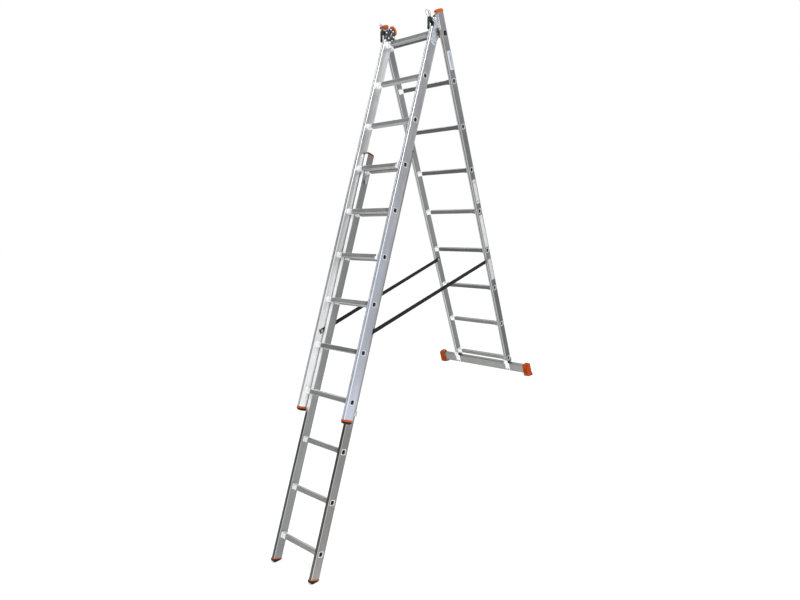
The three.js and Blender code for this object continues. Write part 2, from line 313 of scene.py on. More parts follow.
def make(
    name, shape, seat, material, replaces=None, slot=None,
    bevel=0.0, seg=2, angle=28, cuts=(), sharp=32,
):
    """One piece. Attribute lc keeps its leg-frame millimetres for the materials.

    angle is the bevel's limit and sharp the shading limit, both in degrees.
    """
    leg, body = seat
    materials = [material] if isinstance(material, str) else material
    piece = raw(name, shape)
    for key in materials:
        piece.data.materials.append(MATERIALS[key])
    for cut in cuts:
        cutter = raw(name + "_cut", cut)
        boolean = piece.modifiers.new("cut", "BOOLEAN")
        boolean.operation, boolean.solver, boolean.object = "DIFFERENCE", "EXACT", cutter
        bpy.context.view_layer.update()
        bake(piece)
        bpy.data.objects.remove(cutter)
    if bevel:
        edge = piece.modifiers.new("edge", "BEVEL")
        edge.width, edge.segments = bevel, seg
        edge.limit_method, edge.angle_limit = "ANGLE", rad(angle)
        edge.use_clamp_overlap = True
        bake(piece)
    mesh = piece.data
    add_vectors(mesh, "lc", [vertex.co for vertex in mesh.vertices])
    mesh.transform(leg)
    mesh.polygons.foreach_set("use_smooth", [True] * len(mesh.polygons))
    mesh.set_sharp_from_angle(angle=rad(sharp))
    mesh.update()
    if body:
        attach(piece, body)
    if replaces:
        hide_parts(replaces)
    slot = slot or USUAL_SLOT.get(materials[0])
    return piece


def both(name, shape, seat, material, replaces=None, cuts=(), **settings):
    """A right-hand piece and its mirror image; "{side}" in names is filled in."""
    leg, body = seat
    for side, sign in SIDES:
        if sign < 0:
            shape, cuts = mirrored(shape), [mirrored(cut) for cut in cuts]
        make(
            f"{name}_{side}", shape, (leg, body.format(side=side)), material.format(side=side),
            replaces=replaces and f"{replaces}_{side}", cuts=cuts, **settings,
        )


# ------------------------------------------------------------------ shader nodes
def rgba(tone):
    return (tone, tone, tone, 1) if isinstance(tone, (int, float)) else (*tone, 1)


class Nodes:
    """A cleared node tree with its output, and short ways to add to it."""

    def __init__(self, owner, output):
        owner.use_nodes = True
        self.tree = owner.node_tree
        self.tree.nodes.clear()
        self.output = self.add(output)

    def feed(self, socket, value):
        if isinstance(value, bpy.types.NodeSocket):
            self.tree.links.new(value, socket)
        else:
            socket.default_value = value

    def add(self, kind, inputs=(), **settings):
        """A node; its inputs take values or links from other nodes."""
        made = self.tree.nodes.new("ShaderNode" + kind)
        for key, value in settings.items():
            setattr(made, key, value)
        for key, value in dict(inputs).items():
            self.feed(made.inputs[key], value)
        return made

    def attribute(self, name):
        made = self.add("Attribute", attribute_name=name, attribute_type="GEOMETRY")
        return made.outputs["Vector"]

    def parts(self, name="lc"):
        return self.add("SeparateXYZ", {0: self.attribute(name)}).outputs

    def scaled(self, scale):
        """The piece's own millimetre coordinates, scaled alike or per axis."""
        if isinstance(scale, float):
            scale = (scale, scale, scale)
        inputs = {0: self.attribute("lc"), 1: scale}
        return self.add("VectorMath", inputs, operation="MULTIPLY").outputs[0]

    def texture_noise(self, vector, size, detail, rough):
        inputs = {"Vector": vector, "Scale": size, "Detail": detail, "Roughness": rough}
        return self.add("TexNoise", inputs).outputs["Fac"]

    def noise(self, scale, detail, rough):
        return self.texture_noise(self.scaled(scale), 1.0, detail, rough)

    def cells(self, scale, feature):
        inputs = {"Vector": self.scaled(scale), "Scale": 1.0}
        return self.add("TexVoronoi", inputs, feature=feature).outputs["Distance"]

    def remap(self, value, source, target):
        inputs = dict(enumerate((value, *source, *target)))
        return self.add("MapRange", inputs).outputs[0]

    def spread(self, noise, low, high):
        """Noise, whose middle range is 0.3 to 0.7, spread over low to high."""
        return self.remap(noise, (0.3, 0.7), (low, high))

    def math(self, operation, a, b=0.0):
        return self.add("Math", {0: a, 1: b}, operation=operation).outputs[0]

    def plus(self, *values):
        return reduce(lambda a, b: self.math("ADD", a, b), values)

    def times(self, *values):
        return reduce(lambda a, b: self.math("MULTIPLY", a, b), values)

    def mix(self, factor, under, over, blend="MIX"):
        inputs = {"Factor": factor, 6: under, 7: rgba(over)}
        return self.add("Mix", inputs, data_type="RGBA", blend_type=blend).outputs[2]

    def tint(self, value, tone):
        return self.mix(1.0, value, tone, "MULTIPLY")

    def ramp(self, value, stops):
        made = self.add("ValToRGB", {0: value})
        elements = made.color_ramp.elements
        while len(elements) > 1:
            elements.remove(elements[0])
        elements[0].position = stops[0][0]
        elements[0].color = rgba(stops[0][1])
        for place, tone in stops[1:]:
            elements.new(place).color = rgba(tone)
        return made.outputs[0]

    def along_leg(self, stops, low=-3300.0, high=200.0, axis="Z"):
        """A grey level that follows the place on the leg; stops are (mm, level)."""
        place = self.remap(self.parts()[axis], (low, high), (0.0, 1.0))
        return self.ramp(place, [((p - low) / (high - low), v) for p, v in sorted(stops)])

    def through_leg(self, stops):
        """The same from front to back."""
        return self.along_leg(stops, stops[0][0] - 1, stops[-1][0] + 1, "Y")

    def held(self, level, inside):
        """A level that fades to 1 where inside is 0."""
        return self.plus(self.times(self.math("SUBTRACT", level, 1.0), inside), 1.0)

    def surface(self, bump=None, **inputs):
        """The output's shader; bump's Distance is in metres."""
        inputs = {key.replace("_", " "): value for key, value in inputs.items()}
        if bump:
            inputs["Normal"] = self.add("Bump", bump).outputs[0]
        self.feed(self.output.inputs[0], self.add("BsdfPrincipled", inputs).outputs[0])


def new_material(name):
    MATERIALS[name] = bpy.data.materials.new(name)
    return Nodes(MATERIALS[name], "OutputMaterial")


# ------------------------------------------------------------------ kinds of material
def aluminium(
    name, tone, axis="z", rough=0.34, streak=0.10, cloud=0.06, scratches=0.35, metallic=1.0,
    painted_light_along=None, edges=None, painted_edge_span=None, side=None, faces=None, painted_cool_reflection=None, pale=None,
):
    """Extruded aluminium: drawing lines along the profile, faint clouding, fine
    scratches and handling marks.

    Every one of the following paints light and shade into the colour.
    gain, painted_edge_span and cool are levels along the leg, edges are levels through it: painted
    light and shade on the front faces and beads.
    painted_edge_span says where edges hold, and cool where a painted cool reflection tints the
    metal.
    side: where through the leg it holds, and its levels along the leg: painted light and shade on
    the side faces.
    faces: levels of the lower and the upper face of every rung: painted shade underneath, a painted
    highlight on top.
    pale: where through and along the leg it holds, its tone and its metallic: painted light that
    makes a face paler and less metallic.
    """
    tree = new_material(name)

    def drawn(width, length):
        return (width, width, length) if axis == "z" else (length, width, width)

    lines = tree.noise(drawn(0.9, 0.0035), detail=3, rough=0.6)
    bands = tree.noise(drawn(0.22, 0.0016), detail=2, rough=0.5)
    clouds = tree.noise((0.012, 0.012, 0.005), detail=4, rough=0.6)
    smudge = tree.noise(0.03, detail=5, rough=0.65)
    # short bright scratches across the drawing lines
    cracks = tree.cells((0.02, 0.05, 0.011), "DISTANCE_TO_EDGE")
    mark = tree.times(
        tree.remap(cracks, (0.0, 0.006), (1.0, 0.0)),
        tree.remap(smudge, (0.52, 0.62), (0.0, scratches)),
    )
    level = tree.plus(
        tree.spread(lines, -streak, streak),
        tree.spread(bands, -streak * 0.7, streak * 0.7),
        tree.spread(clouds, -cloud, cloud),
        tree.times(mark, 0.25),
        1.0,
    )
    # painted light and shade along the leg
    if painted_light_along:
        level = tree.times(level, tree.along_leg(painted_light_along))
    # painted light and shade through the leg: shaded or lit front faces and highlighted or shaded
    # beads
    if edges:
        through = tree.through_leg(edges)
        if painted_edge_span:
            through = tree.held(through, tree.along_leg(painted_edge_span))
        level = tree.times(level, through)
    # painted light and shade on the side faces, along the leg
    if side:
        span, levels = side
        level = tree.times(level, tree.held(tree.along_leg(levels), tree.through_leg(span)))
    # painted highlight on each rung's upper face and painted shade on its lower face
    if faces:  # every rung sits at a whole pitch
        half = PITCH / 2
        turn = tree.math("FLOORED_MODULO", tree.plus(tree.parts()["Z"], half), PITCH)
        height = tree.remap(tree.math("SUBTRACT", turn, half), (-16.0, 16.0), (0.0, 1.0))
        lower, upper = faces
        stops = [(0.0, lower), (0.06, lower), (0.14, 1.0), (0.80, 1.0), (0.90, upper), (1.0, upper)]
        level = tree.times(level, tree.ramp(height, stops))
    shade = tree.tint(level, tone)
    # a painted cool reflection tint along the leg
    if painted_cool_reflection:
        shade = tree.mix(tree.along_leg(painted_cool_reflection), shade, (0.965, 1.0, 1.10), "MULTIPLY")
    # painted light: a paler, less metallic face where it holds
    if pale:
        span, length, pale_tone, pale_metallic = pale
        inside = tree.times(tree.through_leg(span), tree.along_leg(length))
        shade = tree.mix(inside, shade, pale_tone)
        loss = tree.times(inside, metallic - pale_metallic)
        metallic = tree.math("SUBTRACT", metallic, loss)
    tree.surface(
        Base_Color=shade,
        Roughness=tree.plus(
            tree.spread(lines, rough - 0.05, rough + 0.05),
            tree.remap(smudge, (0.4, 0.7), (-0.03, 0.08)),
        ),
        Metallic=metallic,
        Anisotropic=0.25,
        bump=dict(
            Height=tree.plus(tree.times(lines, 1.0), tree.times(mark, -0.6)),
            Strength=0.12,
            Distance=0.0004,
        ),
    )


def bore(name, mouth):
    """The inside of a rung tube: mill finish at the mouth, darkened by painted shade to nearly black
    further in.
    """
    tree = new_material(name)
    inward = tree.math("SUBTRACT", mouth, tree.math("ABSOLUTE", tree.parts()["X"]))
    place = tree.remap(inward, (-2.0, 22.0), (0.0, 1.0))
    # painted shade: darker the deeper inside the tube
    depth = tree.ramp(place, [(0.0, 0.70), (0.18, 0.42), (0.42, 0.20), (0.75, 0.11)])
    grain = tree.noise((0.02, 0.6, 0.6), detail=3, rough=0.6)
    level = tree.times(depth, tree.spread(grain, 0.8, 1.2))
    tree.surface(Base_Color=level, Metallic=0.7, Roughness=0.5)


def plated(name, tone, rough=0.3, worn=0.12, metallic=1.0):
    """Zinc-plated pressed steel: a pale spangle and dull patches."""
    tree = new_material(name)
    low, high = 1 - worn, 1 + worn
    spangle = tree.remap(tree.cells(0.22, "F1"), (0.0, 1.0), (low, high))
    patch = tree.noise(0.06, detail=5, rough=0.6)
    tree.surface(
        Base_Color=tree.tint(tree.times(spangle, tree.spread(patch, low, high)), tone),
        Roughness=tree.spread(patch, rough - 0.06, rough + 0.12),
        Metallic=metallic,
        bump=dict(Height=patch, Strength=0.15, Distance=0.0004),
    )


def coated(name, tone, rough):
    """Dark coated steel: fine orange-peel, rubbed paler in patches."""
    tree = new_material(name)
    peel = tree.noise(0.5, detail=2, rough=0.5)
    patch = tree.noise(0.07, detail=5, rough=0.65)
    dark = tuple(0.75 * x for x in tone)
    worn = tuple(min(1, 2.6 * x + 0.02) for x in tone)
    tree.surface(
        Base_Color=tree.ramp(patch, [(0.35, dark), (0.6, tone), (0.72, worn)]),
        Roughness=tree.remap(patch, (0.3, 0.75), (rough + 0.08, rough - 0.12)),
        Metallic=0.55,
        bump=dict(Height=peel, Strength=0.2, Distance=0.0003),
    )


def moulded(name, tone, rough=0.42, specular=0.22):
    """Injection-moulded plastic: fine grain, slow colour drift, dusty scuffs."""
    tree = new_material(name)
    grain = tree.noise(1.1, detail=2, rough=0.6)
    drift = tree.noise(0.03, detail=4, rough=0.6)
    scuff = tree.noise((0.12, 0.03, 0.12), detail=6, rough=0.7)
    dark = tuple(0.72 * x for x in tone)
    pale = tuple(min(1.0, 1.25 * x + 0.015) for x in tone)
    base = tree.ramp(drift, [(0.3, dark), (0.5, tone), (0.75, pale)])
    tree.surface(
        Base_Color=tree.mix(tree.remap(scuff, (0.62, 0.78), (0.0, 0.22)), base, pale),
        Roughness=tree.spread(grain, rough - 0.05, rough + 0.1),
        Specular_IOR_Level=specular,
        bump=dict(Height=grain, Strength=0.18, Distance=0.0003),
    )


def rubber(name, tone):
    """Matt rubber with a pebbled skin and patches of pale dust."""
    tree = new_material(name)
    dust = tree.noise(0.06, detail=6, rough=0.65)
    film_of_dust = tuple(1.8 * x for x in tone)
    stops = [(0.4, tone), (0.62, film_of_dust), (0.82, (0.04, 0.039, 0.036))]
    tree.surface(
        Base_Color=tree.ramp(dust, stops),
        Roughness=tree.remap(dust, (0.3, 0.8), (0.55, 0.85)),
        Specular_IOR_Level=0.22,
        bump=dict(Height=tree.cells(0.8, "SMOOTH_F1"), Strength=0.35, Distance=0.0004),
    )


def woven(name):
    """Black polyester webbing, 25 mm wide, in a fine herringbone weave.

    Attribute uvw holds millimetres along (X) and across (Y) the strap.
    """
    tree = new_material(name)
    twill_pitch, yarn_pitch, zigzag = 2.4, 1.4, 4.2
    parts = tree.parts("uvw")
    along, across = parts["X"], parts["Y"]

    def wave(place, pitch):
        return tree.math("SINE", tree.times(place, 2 * math.pi / pitch))

    twill = wave(tree.plus(along, tree.math("PINGPONG", across, zigzag)), twill_pitch)
    weave = tree.plus(tree.times(twill, 0.6), tree.times(wave(across, yarn_pitch), 0.4))
    fuzz = tree.noise(0.5, detail=4, rough=0.7)
    fade = tree.noise((0.01, 0.03, 0.01), detail=3, rough=0.6)
    level = tree.times(
        tree.plus(tree.remap(weave, (-1.0, 1.0), (0.55, 1.25)), tree.spread(fuzz, -0.2, 0.25)),
        tree.spread(fade, 0.8, 1.3),
        tree.remap(tree.math("ABSOLUTE", across), (10.3, 11.2), (1.0, 1.5)),  # paler edges
    )
    tree.surface(
        Base_Color=tree.tint(level, (0.0085, 0.008, 0.009)),
        Roughness=0.8,
        Specular_IOR_Level=0.2,
        Sheen_Weight=0.06,
        Sheen_Roughness=0.4,
        bump=dict(Height=weave, Strength=0.6, Distance=0.0005),
    )


def film(name, band, along, across, border=0.0):
    """A blank sticker: scuffed white film with plain stripes of the band colour.

    along and across are the stripes' spans as parts of the length (0 to 1) and
    width (-0.5 to 0.5), as in attribute uvw; border is the strength of a thin frame.
    """
    tree = new_material(name)
    parts = tree.parts("uvw")
    grime = tree.noise((0.05, 0.05, 0.03), detail=5, rough=0.65)
    white = tree.ramp(
        grime, [(0.35, (0.57, 0.58, 0.585)), (0.6, (0.51, 0.52, 0.525)), (0.8, (0.38, 0.38, 0.37))]
    )

    def inside(value, spans, soft):
        fields = [
            tree.times(
                tree.remap(value, (low - soft, low + soft), (0.0, 1.0)),
                tree.remap(value, (high - soft, high + soft), (1.0, 0.0)),
            )
            for low, high in spans
        ]
        return reduce(lambda a, b: tree.math("MAXIMUM", a, b), fields)

    def field(along_spans, across_spans, soft):
        return tree.times(
            inside(parts["X"], along_spans, soft), inside(parts["Y"], across_spans, 0.01)
        )

    stripe = field(along, across, 0.004)
    if border:
        middle = field(((0.02, 0.98),), ((-0.42, 0.42),), 0.003)
        rim = tree.times(tree.math("SUBTRACT", 1.0, middle), border)
        stripe = tree.math("MAXIMUM", stripe, rim)
    tree.surface(
        Base_Color=tree.mix(stripe, white, band),
        Roughness=0.32,
        bump=dict(Height=grime, Strength=0.08, Distance=0.0002),
    )


# ------------------------------------------------------------------ stile materials
# Tables are (mm, level), along the leg from the foot up or through it from the front. Their levels
# are painted light and shade.
OVERLAP = [(-3300, 0), (-2370, 0), (-2330, 1), (EXT_TOP - 3, 1), (EXT_TOP + 3, 0), (200, 0)]
BELOW_FRONT = [(-3300, 1.0), (-2370, 1.0), (-2330, 0.0), (200, 0.0)]
BEHIND_EDGE = [(-26, 0.0), (-23, 0.0), (-21.5, 1.0), (26, 1.0)]
# painted shade on the extension's front face and a painted highlight on its bead
EXT_EDGES = [
    (EXT_Y0 + y, level)
    for y, level in ((0, 0.30), (0.9, 0.30), (2.6, 1.9), (5.0, 1.9), (7.0, 1.0), (27.0, 1.0))
]


# painted light on the rear stile's front face and painted shade on the bead behind it
def rear_edges(face, bead):
    return [(-26, face), (-25.2, face), (-24.6, bead), (-23.6, bead), (-22.6, 1.0), (0, 1.0)]


# right front stile: a darker, shaded copy of the aluminium, with painted shade along the leg, a
# painted highlight on its front face and bead, and a painted cool reflection low down
aluminium(
    "aluminium_front_right", (0.650, 0.660, 0.685),
    painted_light_along=[
        (-2350, 0.80), (-2200, 0.74), (-2100, 0.67), (-1980, 0.64), (-1800, 0.62), (-1600, 0.66),
        (-1500, 0.69), (-1350, 0.71), (-1150, 0.84), (-980, 0.78), (-700, 0.76), (-200, 0.76),
        (30, 0.80),
    ],
    edges=[(-35, 2.3), (-34.7, 2.3), (-33.8, 2.1), (-30, 2.0), (-27, 1.0), (-7, 1.0)],
    painted_edge_span=[
        (-2350, 0.5), (-2150, 0.62), (-2000, 0.9), (-1650, 0.92), (-1560, 0.6), (-1400, 0.54),
        (-1260, 0.36), (-1100, 0.2), (-950, 0.12), (-600, 0.15), (-400, 0.3), (30, 0.3),
    ],
    painted_cool_reflection=[
        (-2350, 1.0), (-2000, 0.9), (-1820, 0.6), (-1540, 0.8), (-1260, 0.5), (-980, 0.25),
        (-500, 0.0),
    ],
)
# left front stile: a near-white, lit copy of the aluminium, with painted light and shade along the
# leg, a painted shadow line at the extension's top, and painted shade on its front face
aluminium(
    "aluminium_front_left", (0.97, 0.975, 0.985),
    painted_light_along=[
        (-2350, 1.0), (-2000, 1.05), (-1650, 1.05), (-1540, 0.95), (-1400, 0.78), (-950, 0.78),
        (EXT_TOP - 4, 0.84), (EXT_TOP + 6, 0.72), (-420, 0.86), (-140, 0.98), (30, 0.98),
    ],
    edges=[
        (-35, 0.60), (-34.1, 0.60), (-32.4, 1.1), (-30.0, 1.1), (-27, 0.74), (-12, 0.76),
        (0, 0.92), (10, 1.0), (20, 1.0),
    ],
    painted_edge_span=[(-2350, 0.45), (-1900, 0.8), (-1500, 1.0), (200, 1.0)],
)
# extension stiles: painted shade along the leg and on the front face, a painted highlight on the
# bead; on the left a painted paler, less metallic front face where it lies behind the front section
aluminium(
    "aluminium_extension_right", (0.335, 0.327, 0.315),
    painted_light_along=[(-3230, 0.92), (-3000, 0.66), (-2400, 0.62), (-2300, 0.9), (-760, 1.0)],
    edges=EXT_EDGES,
)
aluminium(
    "aluminium_extension_left", (0.325, 0.325, 0.325),
    painted_light_along=[(-3230, 0.74), (-2000, 0.76), (-1500, 0.84), (-1230, 0.89), (-760, 0.95)],
    edges=EXT_EDGES,
    painted_edge_span=BELOW_FRONT,
    pale=(
        [(EXT_Y0, 1.0), (EXT_Y0 + 5.0, 1.0), (EXT_Y0 + 7.5, 0.0), (EXT_Y0 + 30, 0.0)],
        OVERLAP, 0.78, 0.25,
    ),
)
# rear stiles: painted light and shade on the side faces along the leg and on the front face and
# bead; the two sides are lit and shaded copies with their own tones
aluminium(
    "aluminium_rear_right", (0.345, 0.345, 0.350),
    painted_light_along=[(-2280, 0.85), (-1200, 0.92), (140, 1.05)],
    side=(BEHIND_EDGE, [
        (-2280, 0.45), (-1700, 0.45), (-1580, 0.6), (-1450, 0.8), (-1200, 0.80), (-800, 0.74),
        (-600, 0.76), (-480, 0.92), (-300, 0.95), (-60, 1.05), (140, 1.2),
    ]),
    edges=rear_edges(face=1.5, bead=0.4),
)
aluminium(
    "aluminium_rear_left", (0.40, 0.405, 0.41),
    side=(BEHIND_EDGE, [
        (-2280, 0.56), (-1600, 0.56), (-1500, 0.62), (-1300, 0.78), (-1000, 0.84), (-820, 1.0),
        (-700, 0.9), (-300, 1.0), (-80, 0.78), (140, 0.78),
    ]),
    edges=rear_edges(face=1.4, bead=0.35),
)

# ------------------------------------------------------------------ rung materials
# rungs: painted shade on the front faces and a painted highlight on the beads, painted shade on each
# lower face and a painted highlight on each upper face, and painted shade on the extension's rungs
# where they sit behind the front section
aluminium(
    "aluminium_front_rung", 0.62, axis="x", rough=0.36, streak=0.12,
    edges=[(-14.7, 0.5), (-13.7, 0.5), (-11.2, 1.15), (-9, 1.0), (15, 1.0)],
    painted_edge_span=[
        (-2400, 0.8), (-2150, 0.8), (-2050, 1.0), (-1880, 1.0), (-1800, 0.4), (200, 0.4),
    ],
    faces=(0.56, 1.6),
)
aluminium(
    "aluminium_extension_rung", (0.52, 0.515, 0.50), axis="x", rough=0.38, streak=0.12,
    painted_light_along=[(-3300, 1.0), (-2400, 1.0), (-2300, 0.80), (200, 0.80)],
    edges=[
        (SET_BACK + y, level)
        for y, level in ((-14.7, 0.72), (-13.7, 0.72), (-11.2, 1.2), (-9, 1.0), (15, 1.0))
    ],
    faces=(0.52, 1.3),
)
aluminium(
    "aluminium_rear_rung", 0.50, axis="x", rough=0.38, streak=0.14,
    edges=[(-14.7, 0.25), (-12.6, 0.25), (-10.6, 1.0), (15, 1.0)],
    painted_edge_span=[
        (-2300, 0.62), (-2150, 0.62), (-2050, 0.73), (-1850, 0.73), (-1780, 0.97), (-1300, 1.0),
        (-1200, 0.85), (-1000, 0.85), (-900, 1.0), (200, 1.0),
    ],
    faces=(0.45, 1.25),
)
# pale, half-metallic aluminium; on the left rung collars it is a painted highlight
aluminium(
    "aluminium_swaged", (0.95, 0.95, 0.96), axis="x",
    rough=0.42, streak=0.03, scratches=0.1, metallic=0.45,
)
aluminium(
    "aluminium_rolled_lip", (0.66, 0.66, 0.67), axis="x",
    rough=0.34, streak=0.05, scratches=0.1, metallic=0.8,
)
for part, mouth in (("front", 206.0), ("extension", 178.7), ("rear", 237.0)):
    bore(f"tube_bore_{part}", mouth)

# ------------------------------------------------------------------ other materials
aluminium("aluminium_bar", (0.29, 0.288, 0.275), axis="x", rough=0.38, streak=0.08)
aluminium(
    "aluminium_clamp", (0.93, 0.94, 0.95), rough=0.4, streak=0.04, cloud=0.05, metallic=0.3
)
plated("zinc_plate", (0.74, 0.78, 0.82))
plated("zinc_dull", (0.50, 0.52, 0.54), rough=0.4, worn=0.18)
plated("bolt_steel", (0.42, 0.43, 0.44), rough=0.32, worn=0.15)
plated("clip_zinc", (0.93, 0.94, 0.95), rough=0.5, worn=0.03, metallic=0.15)
plated("yellow_chromate", (0.55, 0.40, 0.22), rough=0.36, worn=0.2)
coated("dark_steel", (0.03, 0.045, 0.042), rough=0.42)
coated("dark_cheek", (0.055, 0.07, 0.07), rough=0.36)
moulded("orange_plastic", (0.52, 0.080, 0.006))
moulded("orange_plastic_foot", (0.40, 0.052, 0.001), rough=0.5, specular=0.08)
moulded("black_plastic", (0.010, 0.010, 0.011), rough=0.45)
rubber("black_rubber", (0.006, 0.006, 0.0065))
woven("webbing")
film("blank_film", (0.09, 0.16, 0.42), along=((0.08, 0.92),), across=((0.06, 0.26),))
film(
    "blank_film_grey", (0.30, 0.31, 0.34),
    along=((0.10, 0.16), (0.86, 0.92)), across=((-0.3, 0.3),), border=0.8,
)
film(
    "blank_film_stripes", (0.42, 0.43, 0.46),
    along=((0.04, 0.96),), across=((-0.30, -0.18), (0.16, 0.28)),
)
film(
    "blank_film_panel", (0.60, 0.61, 0.63),
    along=((0.12, 0.30), (0.38, 0.56), (0.64, 0.88)), across=((-0.34, 0.34),), border=0.35,
)

# ------------------------------------------------------------------ sections
# corner and bead shape the stile's edges and recess sinks its sides; flange is the
# rung collar's height, waist the tube's narrowing between collars, lip the rolled
# lip's reach, and back_limit leaves room for the section that slides behind.
SECTIONS = {
    "front": SimpleNamespace(
        seat=ON_FRONT, box=FRONT_BOX, z=(FRONT_FOOT, 22), corner=5.0, bead=7.5, recess=1.0,
        rung_z=0, flange=3.4, waist=0.5, lip=1.5, back_limit=14.7,
    ),
    "extension": SimpleNamespace(
        seat=ON_EXTENSION, box=EXT_BOX, z=(EXT_FOOT, EXT_TOP), corner=5.5, bead=7.0, recess=0.8,
        rung_z=-DROP, flange=3.0, waist=0.5, lip=1.2, back_limit=math.inf,
    ),
    "rear": SimpleNamespace(
        seat=ON_REAR, box=REAR_BOX, z=(-2276, REAR_TOP), corner=4.6, bead=5.0, recess=1.0,
        rung_z=0, flange=3.0, waist=1.5, lip=1.5, back_limit=math.inf,
    ),
}


# ------------------------------------------------------------------ stiles
def stile_outline(box, corner, bead, recess, groove=3.4, depth=1.4):
    """Box section with round corners, raised beads along both edges of each
    side and a grip groove down the middle of its front and back."""
    x0, x1, y0, y1 = box
    middle = (x0 + x1) / 2
    # from bead to recess: part of the recess, distance past the bead
    step = [(0, 0), (0.35, 0.7), (0.8, 1.6), (1, 2.6)]
    half = arc(x1 - corner, y0 + corner, corner, -90, 6)
    half += [(x1 - k * recess, y0 + bead + past) for k, past in step]
    half += [(x1 - k * recess, y1 - bead - past) for k, past in reversed(step)]
    half += arc(x1 - corner, y1 - corner, corner, 0, 6)
    half += [
        (middle + groove, y1), (middle + groove - 0.9, y1 - depth),
        (middle - groove + 0.9, y1 - depth), (middle - groove, y1),
    ]
    return with_half_turn(half, middle, (y0 + y1) / 2)


def stile_hollow(section):
    x0, x1, y0, y1 = section.box
    z0, z1 = section.z
    wall = section.recess + 1.5
    half_x, half_y = (x1 - x0) / 2 - wall, (y1 - y0) / 2 - 3.2
    outline = rounded_rect((x0 + x1) / 2, (y0 + y1) / 2, half_x, half_y, 2.0, 2)
    return prism("z", outline, z0 - 10, z1 + 10)


def rung_holes(section):
    x0, x1, y0, y1 = section.box
    holes = []
    for i in range(RUNGS):
        z = section.rung_z - PITCH * i
        outline = rounded_rect((y0 + y1) / 2, z, 14.95, 14.95, 5.2)
        holes.append(prism("x", outline, x0 - 6, x1 + 6))
    return join(*holes)


for part, section in SECTIONS.items():
    outline = stile_outline(section.box, section.corner, section.bead, section.recess)
    both(
        f"{part}_stile_profile", prism("z", outline, *section.z), section.seat,
        f"aluminium_{part}_{{side}}", f"{part}_stile", slot="aluminium",
        cuts=[stile_hollow(section), rung_holes(section)], sharp=40,
    )

# ------------------------------------------------------------------ rungs
# the swaged collar slot carries a painted highlight, used on the left collars only
TUBE, SWAGED_HIGHLIGHT, BORE, LIP = range(4)  # material slots of a rung
# ribs round the tube: place from -1 to 1 along a flat, depth factor
TREAD_RIBS = [
    (-0.78, 0), (-0.70, 1), (-0.58, 1), (-0.50, 0), (-0.28, 0), (-0.20, 1), (-0.08, 1), (0.0, 0),
    (0.22, 0), (0.30, 1), (0.42, 1), (0.50, 0), (0.72, 0), (0.80, 1), (0.90, 1), (0.97, 0),
]
FACE_RIBS = [
    (-0.62, 0), (-0.54, 0.7), (-0.42, 0.7), (-0.34, 0), (-0.10, 0), (-0.03, 0.7), (0.07, 0.7),
    (0.14, 0), (0.38, 0), (0.46, 0.7), (0.58, 0.7), (0.66, 0),
]


def rung_section(growth, ribs):
    """Square tube with round corners; grooved tread on top and underneath,
    lighter grooves on the front and back."""
    half = 14.7 + growth
    radius = 5.0 + growth * 0.9 if growth >= 0 else 5.0 - 0.6 * growth
    flat = half - radius
    points = arc(flat, -flat, radius, -90, 4)
    points += [(half - 0.75 * ribs * d, flat * t) for t, d in FACE_RIBS]
    points += arc(flat, flat, radius, 0, 4)
    points += [(-flat * t, half - 0.8 * ribs * d) for t, d in TREAD_RIBS]
    return with_half_turn(points)


def rung(section, z, lip):
    """A tube swaged into both stiles: a bell-shaped collar against each inner
    side and, where lip is not 0, a rolled lip round the hole on each outer side."""
    x0, x1, y0, y1 = section.box
    y = (y0 + y1) / 2
    inner, outer = x0 + section.recess, x1 - section.recess
    flange, waist = section.flange, section.waist
    # right half outward: x, growth of the section, rib depth, material of the band before it
    half = [
        (inner - 42, -waist, 1, TUBE),
        (inner - 37, -waist, 0.4, TUBE),
        (inner - 33, 0.1 - 0.9 * waist, 0, SWAGED_HIGHLIGHT),
        (inner - 24, 0.3 - 0.5 * waist, 0, SWAGED_HIGHLIGHT),
        (inner - 14, 0.7, 0, SWAGED_HIGHLIGHT),
        (inner - 6.5, 1.3, 0, SWAGED_HIGHLIGHT),
        (inner - 3.6, 2.0, 0, SWAGED_HIGHLIGHT),
        (inner - 2.4, flange - 0.4, 0, SWAGED_HIGHLIGHT),
        (inner - 1.7, flange, 0, SWAGED_HIGHLIGHT),
        (inner - 0.4, flange, 0, SWAGED_HIGHLIGHT),
        (inner - 0.05, flange - 0.5, 0, TUBE),
        (inner - 0.02, 0.05, 0, TUBE),
        (outer - 0.1, 0.05, 0, TUBE),
    ]
    if lip:
        half += [
            (outer + 0.05, 2.0, 0, LIP),
            (outer + 0.2, 2.3, 0, LIP),
            (outer + lip - 0.5, 2.1, 0, LIP),
            (outer + lip, 1.3, 0, LIP),
            (outer + lip, -0.8, 0, LIP),
            (outer + lip - 0.7, -2.4, 0, LIP),
            (outer - 2, -3.2, 0, BORE),
            (outer - 9, -2.4, 0, BORE),
            (outer - 22, -1.8, 0, BORE),
        ]
    else:
        half += [
            (outer + 0.3, 0.0, 0, TUBE),
            (outer + 0.3, -1.2, 0, BORE),
            (outer - 3, -1.7, 0, BORE),
            (outer - 22, -1.8, 0, BORE),
        ]
    stations = []
    for x, growth, ribs, _ in [(-x, *rest) for x, *rest in reversed(half)] + half:
        limit = section.back_limit if abs(x) < 180.5 else math.inf
        outline = [(y + min(py, limit), z + pz) for py, pz in rung_section(growth, ribs)]
        stations.append((x, outline))
    # only the left collars get the pale swaged material, a painted highlight; the right collars keep
    # the tube material, and the last band closes the bore
    mats = [material for *_, material in half[1:]]
    right_mats = [TUBE if material == SWAGED_HIGHLIGHT else material for material in mats]
    bands = mats[::-1] + [TUBE] + right_mats + [BORE]
    return loft_along("x", stations, closed=True, mats=bands)


